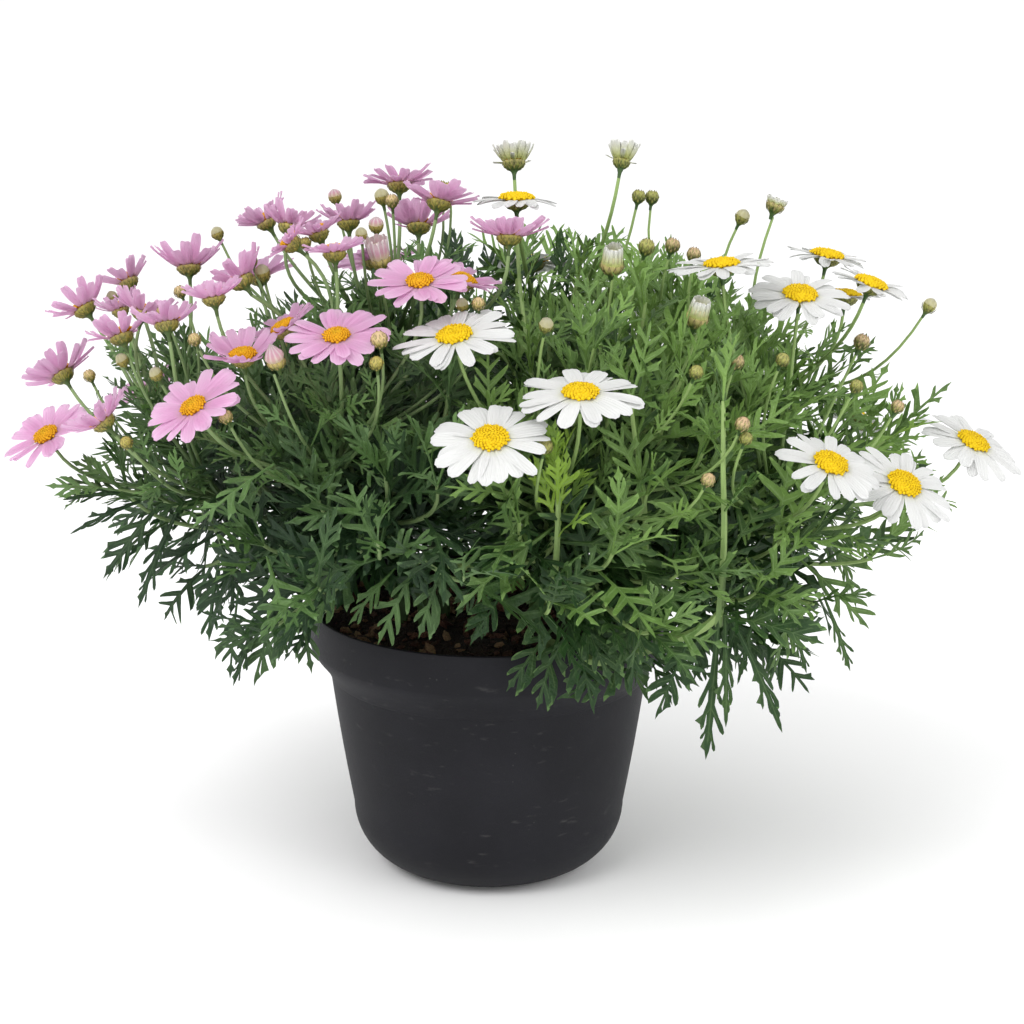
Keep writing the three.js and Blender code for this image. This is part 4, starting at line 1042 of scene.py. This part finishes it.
# Limits in the photograph's frame: the lowest and highest row that leaves reach in a column. The
# ovals, as middle and half sizes, stay clear of leaves, so that soil and sprout show
HANG_COLUMNS = [0, 48, 62, 110, 160, 205, 275, 320, 345, 500, 520, 650, 700, 790, 850, 900, 950, 1010]
HANG_ROWS = [470, 478, 545, 590, 625, 668, 690, 640, 622, 630, 700, 706, 756, 730, 660, 600, 545, 500]
TOP_COLUMNS = [0, 205, 307, 430, 490, 560, 655, 717, 778, 850, 891, 942, 1024]
TOP_ROWS = [330, 320, 275, 228, 222, 220, 226, 248, 268, 300, 350, 395, 420]
SOIL_OVAL = (440, 636, 82, 26)
SPROUT_OVAL = (557, 476, 20, 58)
PIXELS_PER_MM = 1.9
BOX_ROOM = 6


def oval_reach(column, row, oval):
    """Squared distance of places from the middle of an oval, which is 1 on its rim."""
    middle_column, middle_row, half_width, half_height = oval
    return ((column - middle_column) / half_width) ** 2 + ((row - middle_row) / half_height) ** 2


def in_the_clear(path):
    """Whether a shoot stays off the pot and above the hanging limit, and leaves the soil in view."""
    column, row = seen(path)[:2]
    wrong = (np.hypot(path[:, 0], path[:, 1]) < 100) & (path[:, 2] < 150)
    wrong |= row > np.interp(column, HANG_COLUMNS, HANG_ROWS) - 8
    wrong |= (oval_reach(column, row, SOIL_OVAL) < 1) & (path[:, 1] < -40)
    return not wrong.any()


def left_out(tip):
    """Share of shoots that are left out where the bush is looser: at the right, low left and top."""
    if tip[0] > 112:
        return 0.48
    if tip[0] < -110 and tip[2] < 240:
        return 0.6
    return 0.16 if tip[2] > 285 else 0.0


def mound_shoots(count, reach, first, size, levels=(-0.36, 0.94), left_end=-400):
    """Shoots whose tips lie in an even golden-angle spiral over the mound, from its skirt to its top."""
    for i in range(count):
        level = levels[0] + (levels[1] - levels[0]) * (i + 0.5) / count
        flat = math.sqrt(max(1 - level * level, 0))
        turn = i * GOLDEN_ANGLE + first
        way = np.array([flat * math.cos(turn), flat * math.sin(turn), level])
        tip = MOUND_MIDDLE + way * MOUND_REACH * reach * random.uniform(0.92, 1.04)
        tip[2] = max(tip[2], 126 + 0.71 * max(-tip[0] - 112, 0))
        if tip[0] < left_end or (tip[2] < 165 and math.hypot(tip[0], tip[1]) < 108):
            continue
        if random.random() < left_out(tip):
            continue
        axis = unit(way / MOUND_REACH * 180 + UP * (0.45 if level > 0 else -0.05) + random.normal(0, 0.15, 3))
        colour = "pink" if tip[0] + random.normal(0, 9) < -4 else "white"
        stem = nearest_stem(tip, colour)
        path = shoot_path(stem, tip, axis, reach=100.0)
        if not in_the_clear(path[5:]):
            continue
        length = np.linalg.norm(np.diff(path, axis=0), axis=1).sum()
        leaves.along(path, stem, start=max(length - 100, 6), size=size,
                     fresh=np.clip(tip[0] / 500, 0.0, 0.25), lift=0.1 if level > -0.1 else -0.15)


first_mound_shoot = len(leaves.shoots)
mound_shoots(150, 0.84, 0.0, 60)
mound_shoots(76, 0.62, 1.0, 58)
mound_shoots(40, 0.88, 2.0, 54, (0.55, 0.98))
mound_shoots(36, 1.02, 0.5, 50, (0.74, 0.99), -30)


def hides(bloom, column, row, depth, free):
    """Whether leaves lie in front of a bloom in the photograph's frame; those placed one by one may lap it.
    """
    bloom_column, bloom_row, bloom_depth = seen(bloom["place"] + bloom["axis"] * bloom["lift"] * 0.5)
    wide = bloom["half"] * PIXELS_PER_MM
    facing = abs(bloom["axis"][1] * math.cos(CAMERA_PITCH) - bloom["axis"][2] * math.sin(CAMERA_PITCH))
    oval = (bloom_column, bloom_row, wide, wide * max(0.32, facing))
    room = np.where(free, 0.4, 1.0)[:, None]
    return ((oval_reach(column, row, oval) < room) & (depth < bloom_depth + 4)).any(1)


def drop_bare_shoots(bad):
    """Drops the leaves of mound shoots that lost their tips, and adds the twigs of the others."""
    for stem, path, start, count, tips in leaves.shoots[first_mound_shoot:]:
        if (~bad[start + count - tips:start + count]).sum() < 2:
            bad[start:start + count] = True
            continue
        add_tube(greens[stem], path, (1.6, 0.9), 6, STEM, random.uniform(0.1, 0.6))


def kept_leaves(table):
    """Leaves that keep clear of pot, soil and blooms, stay in the frame's box and hide no bloom."""
    points, free = bent_leaves(table), table["free"]
    flat = np.hypot(points[..., 0], points[..., 1])
    bad = ((flat < 97) & (points[..., 2] < 147) & ((flat > 80) | (points[..., 2] < 140))).any(1)
    low, high = (np.array(corner) * MILLIMETRES for corner in (cad_low, cad_high))
    bad |= ((points < low - BOX_ROOM) | (points > high + BOX_ROOM)).any((1, 2))
    sample = points[:, [2, 4, TIP, *LOBE_TIPS]]
    bad |= inside_blooms(sample, 0.5).any(1)
    column, row, depth = seen(sample)
    wrong = (row > np.interp(column, HANG_COLUMNS, HANG_ROWS)) | (oval_reach(column, row, SOIL_OVAL) < 1)
    wrong |= row < np.interp(column, TOP_COLUMNS, TOP_ROWS)
    sprout_depth = seen(HAND_SHOOTS[0][1][-1])[2]
    wrong |= (oval_reach(column, row, SPROUT_OVAL) < 1) & (depth < sprout_depth + 2)
    bad |= wrong.any(1) & ~free
    for bloom in blooms:
        if bloom["seen"]:
            bad |= hides(bloom, column, row, depth, free)
    drop_bare_shoots(bad)
    return points[~bad], {name: values[~bad] for name, values in table.items()}


leaf_points, table = kept_leaves(leaves.table())
grain = leaf_grain(table)
for name in STEMS:
    own = table["stem"] == name
    greens[name].add(leaf_points[own], grain[own], LEAF_QUADS, LEAF_TRIS, LEAF_LOOKS)

# Looks of the two plants. The undersides of leaves are paler. A leaf look's first colour is its deep green,
# which also serves as painted shade inside the mound and low down
PALER = 0.15
LEAF_PAIRS = {
    "pink": [leaf_look("leaf_dark", (0.01, 0.034, 0.011), (0.125, 0.24, 0.06), (0.17, 0.29, 0.11)),
             leaf_look("leaf_dark_under", (0.045, 0.1, 0.042), (0.15, 0.26, 0.09), (0.19, 0.3, 0.12), PALER)],
    "white": [leaf_look("leaf_fresh", (0.013, 0.048, 0.009), (0.19, 0.33, 0.07), (0.28, 0.42, 0.16)),
              leaf_look("leaf_fresh_under", (0.06, 0.135, 0.04), (0.22, 0.37, 0.085), (0.27, 0.41, 0.14),
                        PALER)],
}
STEM_LOOKS = {
    "pink": stem_look("stem_pink", (0.055, 0.11, 0.03), (0.20, 0.29, 0.11)),
    "white": stem_look("stem_white", (0.08, 0.15, 0.035), (0.26, 0.38, 0.12)),
}
CUP_LOOKS = {
    "pink": cup_look("cup_pink", (0.055, 0.1, 0.02), (0.4, 0.35, 0.05), (0.62, 0.45, 0.25)),
    "white": cup_look("cup_white", (0.04, 0.09, 0.02), (0.31, 0.34, 0.06), (0.58, 0.4, 0.24)),
}
RAY_LOOKS = {
    "pink": ray_look("ray_pink", (0.87, 0.54, 0.77), (0.96, 0.78, 0.92), (0.68, 0.33, 0.58),
                     (0.88, 0.62, 0.72), through=0.6),
    "white": ray_look("ray_white", (0.85, 0.85, 0.84), (0.88, 0.88, 0.88), (0.74, 0.76, 0.73),
                      (0.8, 0.83, 0.6)),
}
OPENING_LOOKS = {
    "pink": ray_look("opening_pink", (0.75, 0.36, 0.48), (0.93, 0.84, 0.82), (0.7, 0.4, 0.5),
                     (0.8, 0.72, 0.33), 0.6, 0.8, 0.75, 0.15),
    "white": ray_look("opening_white", (0.92, 0.92, 0.9), (0.95, 0.95, 0.95), (0.86, 0.88, 0.8),
                      (0.56, 0.6, 0.12), 1.2, 0.95, 0.3, 0.15),
}
EYE_LOOKS = {
    "pink": eye_look("eye_pink", (0.8, 0.42, 0.012), (0.5, 0.18, 0.004), (0.6, 0.4, 0.015)),
    "white": eye_look("eye_white", (0.84, 0.6, 0.008), (0.6, 0.35, 0.004), (0.75, 0.55, 0.012)),
}
CREAM_LOOK = ray_look("bud_cream", (0.78, 0.74, 0.45), (0.9, 0.88, 0.74), (0.55, 0.5, 0.2), (0.5, 0.52, 0.14))
FOLIAGE_SLOTS = {"pink": "foliage_dark", "white": "foliage_fresh"}

for name, shells in greens.items():
    colour = name.split("_")[0]
    looks = [*LEAF_PAIRS[colour], STEM_LOOKS[colour], CUP_LOOKS[colour]]
    shells.piece(f"foliage_{name}", looks, [f"leafy_stem_{name}"], FOLIAGE_SLOTS[colour])
for colour, shells in bud_tips.items():
    looks = [CREAM_LOOK, RAY_LOOKS["pink"], OPENING_LOOKS[colour]]
    shells.piece(f"bud_tips_{colour}", looks, (), f"rays_{colour}")

# Blooms: crowns of an opening bloom as count, reach in eyes and rise, its five loose rays, and the
# core of an eye with the florets' shade up it
OPENING_CROWNS = ((15, 1.2, 1.0), (13, 1.5, 0.9))
LOOSE_RAYS = np.array([2.5, 2.95, 3.4, 3.9, 6.1])
EYE_CORE = [(0.2, 0.6), (1.2, 0.78), (2.3, 0.74), (3.4, 0.55), (3.9, 0.25)]
EYE_CORE_SHADE = [0.9, 0.9, 0.7, 0.5, 0.2]


def make_bloom(bloom):
    """Rays and eye of a bloom. A small white one is opening: its rays stand up in crowns, a few hang."""
    colour, place, axis, eye, half, lift = (
        bloom[key] for key in ("colour", "place", "axis", "eye", "half", "lift"))
    pink = colour == "pink"
    opening = half < 17 and not pink
    rays, florets = Shells(), Shells()
    if opening:
        for count, reach, rise in OPENING_CROWNS:
            add_rays(rays, place, axis, eye, reach * eye, rise * max(lift, 9.5), even_angles(count), 3.3,
                     ragged=0.4, cup=0.4)
        add_rays(rays, place, axis, eye, half, 0.5 * lift, LOOSE_RAYS, 2.6, ragged=1.1, cup=0.4)
    else:
        count = int(random.integers(19, 22) if pink else random.integers(20, 23))
        width = (1.42 if pink else 1.3) * 2 * math.pi * 0.7 * half / count
        droop = (1.5 if pink else 2.7) if lift < 8 else 0.0
        # Painted light: pink blooms further back get paler rays, which lightens their shaded undersides
        paler = min(max((place[1] + 20) / 100, 0), 1) if pink else 0.0
        add_rays(rays, place, axis, eye, half * 1.01, 0.9 * lift, even_angles(count), width, droop,
                 cup=0.7 if pink else 0.45, tone=paler)
    size = eye * (0.7 if opening else 1.0 if pink else 1.15)
    add_turned(florets, place, axis, scaled(EYE_CORE, 1, size), 20, 0, 0.6, EYE_CORE_SHADE)
    add_florets(florets, place, axis, size, 112 if pink else 128)
    look = (OPENING_LOOKS if opening else RAY_LOOKS)[colour]
    number = bloom["node"][-2:]
    rays.piece(f"rays_{colour}_{number}", [look], [bloom["node"]], f"rays_{colour}")
    florets.piece(f"eye_{colour}_{number}", [EYE_LOOKS[colour]], [bloom["node"]])


for bloom in blooms:
    make_bloom(bloom)

# Pot, with the sizes of what is cut out of it in metres
RIM_RADIUS = 95.0
DRAIN_COUNT, DRAIN_CIRCLE, DRAIN_RADIUS = 6, 0.018, 0.004
NOTCH_COUNT, NOTCH_DISTANCE, NOTCH_SIZE = 3, 0.046, (0.02, 0.04, 0.0044)
POT_SHARP_ANGLE = 40


def pot_profile():
    """Half section (height, radius): underside, rounded base, wall, flare, rim band, and the inside.

    The base is a quarter of an ellipse, the wall swells by half a sine wave, and the flare eases in
    and out.
    """
    quarter = np.linspace(0, math.pi / 2, 17)[1:]
    shares = np.linspace(0, 1, 13)[1:]
    eased = [(s, s * s * (3 - 2 * s) * 0.5 + s * 0.5) for s in np.linspace(0, 1, 7)[1:]]
    foot = [(0, 4), (0, 8.6), (0.4, 9.1), (4, 9.8), (4, 18), (4, 27.2), (0.4, 27.9), (0, 28.4), (0, 34),
            (0, 40)]
    base = [(34 * (1 - math.cos(a)), 40 + 32.7 * math.sin(a)) for a in quarter]
    wall = [(34 + 73 * s, 72.7 + 11.6 * s + 0.5 * math.sin(math.pi * s)) for s in shares]
    flare = [(107.4, 84.8), (108.2, 85.1)] + [(108.2 + 15.1 * s, 85.1 + 9.9 * e) for s, e in eased]
    rim = [(124.2, 95.2), (130, 95.25), (138, 95.2), (143.6, 95.1), (144.6, 94.9), (145, 94.4)]
    inside = [(145, 93.8), (144.6, 93.3), (143.6, 93.15), (134, 93.2), (123.3, 93.2), (107, 82.5), (70, 76.8),
              (34, 70.9), (14.3, 56.4), (6.6, 40), (5.8, 30), (5.8, 18), (5.8, 6)]
    return foot + base + wall + flare + rim + inside


def pot_cutters():
    """Solids that cut the pot: drain holes through its floor, and notches under its foot ring."""
    cutters = []
    for i in range(DRAIN_COUNT):
        turn = (i + 0.5) * 2 * math.pi / DRAIN_COUNT
        bpy.ops.mesh.primitive_cylinder_add(vertices=32, radius=DRAIN_RADIUS, depth=0.006)
        cutters.append(bpy.context.object)
        place = (DRAIN_CIRCLE * math.cos(turn), DRAIN_CIRCLE * math.sin(turn), 0.005)
        cutters[-1].matrix_world = Matrix.Translation(place)
    for i in range(NOTCH_COUNT):
        bpy.ops.mesh.primitive_cube_add(size=1)
        cutters.append(bpy.context.object)
        turn = Matrix.Rotation(i * 2 * math.pi / NOTCH_COUNT, 4, "Z")
        place = Matrix.Translation((0, -NOTCH_DISTANCE, 0))
        cutters[-1].matrix_world = turn @ place @ Matrix.Diagonal((*NOTCH_SIZE, 1))
    return cutters


def make_pot():
    """Turned pot, with its drain holes and notches cut out."""
    shells = Shells()
    add_turned(shells, np.zeros(3), UP, pot_profile(), 144)
    rough = shells.piece("pot_turned", [pot_look()], sharp=POT_SHARP_ANGLE)
    cutters = pot_cutters()
    for cutter in cutters:
        cut = rough.modifiers.new("cut", "BOOLEAN")
        cut.operation = "DIFFERENCE"
        cut.object = cutter
        cut.solver = "EXACT"
    bpy.context.view_layer.update()
    finished = rough.evaluated_get(bpy.context.evaluated_depsgraph_get())
    mesh = bpy.data.meshes.new_from_object(finished)
    for scrap in cutters + [rough]:
        bpy.data.objects.remove(scrap)
    mesh.set_sharp_from_angle(angle=math.radians(POT_SHARP_ANGLE))
    pot = bpy.data.objects.new("pot_shell", mesh)
    bpy.context.scene.collection.objects.link(pot)
    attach(pot, "root")
    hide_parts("pot")


make_pot()

# Soil
SOIL_SIDES, SOIL_RADIUS = 144, 92.6
SOIL_GAP = 0.3
CRUMB_COUNT = 1300


def soil_level(x, y):
    """Soil surface: a low crown with lumps, and finer waves in many directions."""
    lumps = np.sin(x * 0.09 + 1.3) * np.cos(y * 0.11 - 0.4) + 0.6 * np.sin(x * 0.05 - y * 0.16)
    level = SOIL_TOP + 3.5 * (1 - (x * x + y * y) / RIM_RADIUS**2) + 2.2 * lumps
    draw = np.random.default_rng(7)
    for wave in (0.25, 0.35, 0.5, 0.7, 0.9, 1.2, 1.5):
        turn, shift = draw.uniform(0, 6.28, 2)
        along = x * math.cos(turn) + y * math.sin(turn)
        level = level + 0.28 / wave**0.7 * np.sin(wave * along + shift) * 0.8
    return level


def make_soil():
    """Soil: turned body in the pot's inside, with the lumpy surface on top."""
    body = [(6.1, 3), (6.1, 38), (14.6, 56.1 - SOIL_GAP), (34, 70.9 - SOIL_GAP), (107, 82.5 - SOIL_GAP),
            (123.3, 92.9 - SOIL_GAP)]
    angle = even_angles(SOIL_SIDES)
    rings = np.array([(r * np.cos(angle), r * np.sin(angle), np.full(SOIL_SIDES, z)) for z, r in body])
    radii = np.concatenate([[SOIL_RADIUS], SOIL_RADIUS * np.linspace(1, 0.02, 46)])
    x, y = radii[:, None] * np.cos(angle), radii[:, None] * np.sin(angle)
    top = np.stack([x, y, soil_level(x, y)], 1)
    top[0, 2] = np.minimum(top[0, 2], top[1, 2]) - 1.0
    points, quads, tris = ringed(np.concatenate([rings, top]).transpose(0, 2, 1))
    shells = Shells()
    shells.add(points, (0.0, 0.0, 0.2), quads, tris)
    peat = soil_look("soil_peat", (0.012, 0.007, 0.004), (0.075, 0.034, 0.018), (0.3, 0.2, 0.11))
    shells.piece("soil_fill", [peat], ["soil"], "potting_soil")


def icosahedron():
    """Corners of an icosahedron of radius 1, from three golden rectangles, and its outward faces."""
    golden = (1 + 5**0.5) / 2
    signs = [(s, t) for s in (-1, 1) for t in (-1, 1)]
    corners = [(s, t * golden, 0) for s, t in signs] + [(0, s, t * golden) for s, t in signs]
    corners = unit(np.array(corners + [(t * golden, 0, s) for s, t in signs], float))
    near = np.linalg.norm(corners[:, None] - corners[None], axis=-1) < 1.1
    faces = [(a, b, c) for a in range(12) for b in range(a + 1, 12) for c in range(b + 1, 12)
             if near[a, b] and near[b, c] and near[a, c]]
    outward = [np.dot(np.cross(corners[b] - corners[a], corners[c] - corners[a]), corners[a]) > 0
               for a, b, c in faces]
    return corners, [face if out else face[::-1] for face, out in zip(faces, outward)]


def turned(a, b, angle):
    """Coordinates a and b after a turn from a to b, by one angle for each shape."""
    cosine, sine = np.cos(angle)[:, None], np.sin(angle)[:, None]
    return a * cosine - b * sine, a * sine + b * cosine


def make_crumbs():
    """Loose crumbs on the soil: uneven icosahedra, flattened, tilted and turned; a quarter are chips."""
    corners, faces = icosahedron()
    away = np.sqrt(random.uniform(0, 0.97, CRUMB_COUNT)) * 91
    angle = random.uniform(0, 6.28, CRUMB_COUNT)
    x, y = away * np.cos(angle), away * np.sin(angle)
    chip = random.random(CRUMB_COUNT) < 0.25
    size = np.where(chip, random.uniform(2.2, 5.0, CRUMB_COUNT), random.uniform(0.7, 2.2, CRUMB_COUNT))
    breadth, depth = random.uniform(0.4, 0.8, CRUMB_COUNT), random.uniform(0.25, 0.6, CRUMB_COUNT)
    shape = np.stack([size, size * breadth, size * depth], -1)
    turn, tilt = random.uniform(0, 6.28, CRUMB_COUNT), random.normal(0, 0.5, CRUMB_COUNT)
    points = corners * shape[:, None] * random.uniform(0.75, 1.25, (CRUMB_COUNT, 12, 1))
    across, above = turned(points[..., 0], points[..., 2], tilt)
    px, py = turned(across, points[..., 1], turn)
    px, py = px + x[:, None], py + y[:, None]
    pz = above + soil_level(x, y)[:, None] + 0.25 * size[:, None]
    inside = (np.hypot(px, py) < 92.8).all(1)
    sort = np.where(chip, 1 + (random.random(CRUMB_COUNT) < 0.4), 0)
    crumbs = Shells()
    for look in range(3):
        own = inside & (sort == look)
        grain = np.zeros((own.sum(), 12, 3))
        grain[..., 2] = random.random(own.sum())[:, None]
        crumbs.add(np.stack([px, py, pz], -1)[own], grain, (), faces, (look, look))
    looks = [soil_look("crumb_peat", (0.02, 0.011, 0.007), (0.1, 0.045, 0.025), (0.25, 0.16, 0.09)),
             soil_look("crumb_bark", (0.06, 0.022, 0.013), (0.2, 0.085, 0.05), (0.3, 0.18, 0.1)),
             soil_look("crumb_wood", (0.18, 0.1, 0.05), (0.38, 0.25, 0.14), (0.5, 0.38, 0.24))]
    crumbs.piece("soil_crumbs", looks, (), "potting_soil", 35)


make_soil()
make_crumbs()

# Studio: pale floor, soft light from above and in front, and the photograph's camera
bpy.ops.mesh.primitive_plane_add(size=9)
floor = bpy.context.object
floor.name = "floor"
floor.data.materials.append(plain_look("floor_paint", (0.95, 0.95, 0.95)))
world = bpy.data.worlds.new("studio")
bpy.context.scene.world = world
world.use_nodes = True
background = world.node_tree.nodes["Background"]
background.inputs["Color"].default_value = (1, 1, 1, 1)
background.inputs["Strength"].default_value = 1.03


def soft_light(name, place, size, power):
    """Square light that faces the bush's middle."""
    data = bpy.data.lights.new(name, "AREA")
    data.size, data.energy = size, power
    made = bpy.data.objects.new(name, data)
    made.location = place
    made.rotation_mode = "QUATERNION"
    aim = made.location.copy() * -1
    aim.z += 0.22
    made.rotation_quaternion = aim.to_track_quat("-Z", "Y")
    bpy.context.scene.collection.objects.link(made)


soft_light("key", (-1.1, -1.6, 2.3), 1.6, 50)
soft_light("fill", (1.9, -1.2, 1.2), 1.8, 16)

SENSOR_WIDTH = 36
camera = bpy.data.objects.new("camera", bpy.data.cameras.new("camera"))
camera.location = CAMERA * METRES
camera.rotation_euler = (math.pi / 2 - CAMERA_PITCH, 0, 0)
camera.data.sensor_width = SENSOR_WIDTH
camera.data.lens = FOCAL_PIXELS * SENSOR_WIDTH / FRAME_PIXELS
camera.data.shift_x = (FRAME_PIXELS / 2 - AXIS_COLUMN) / FRAME_PIXELS
camera.data.clip_end = 50
bpy.context.scene.collection.objects.link(camera)
bpy.context.scene.camera = camera
bpy.context.scene.view_settings.view_transform = "Standard"
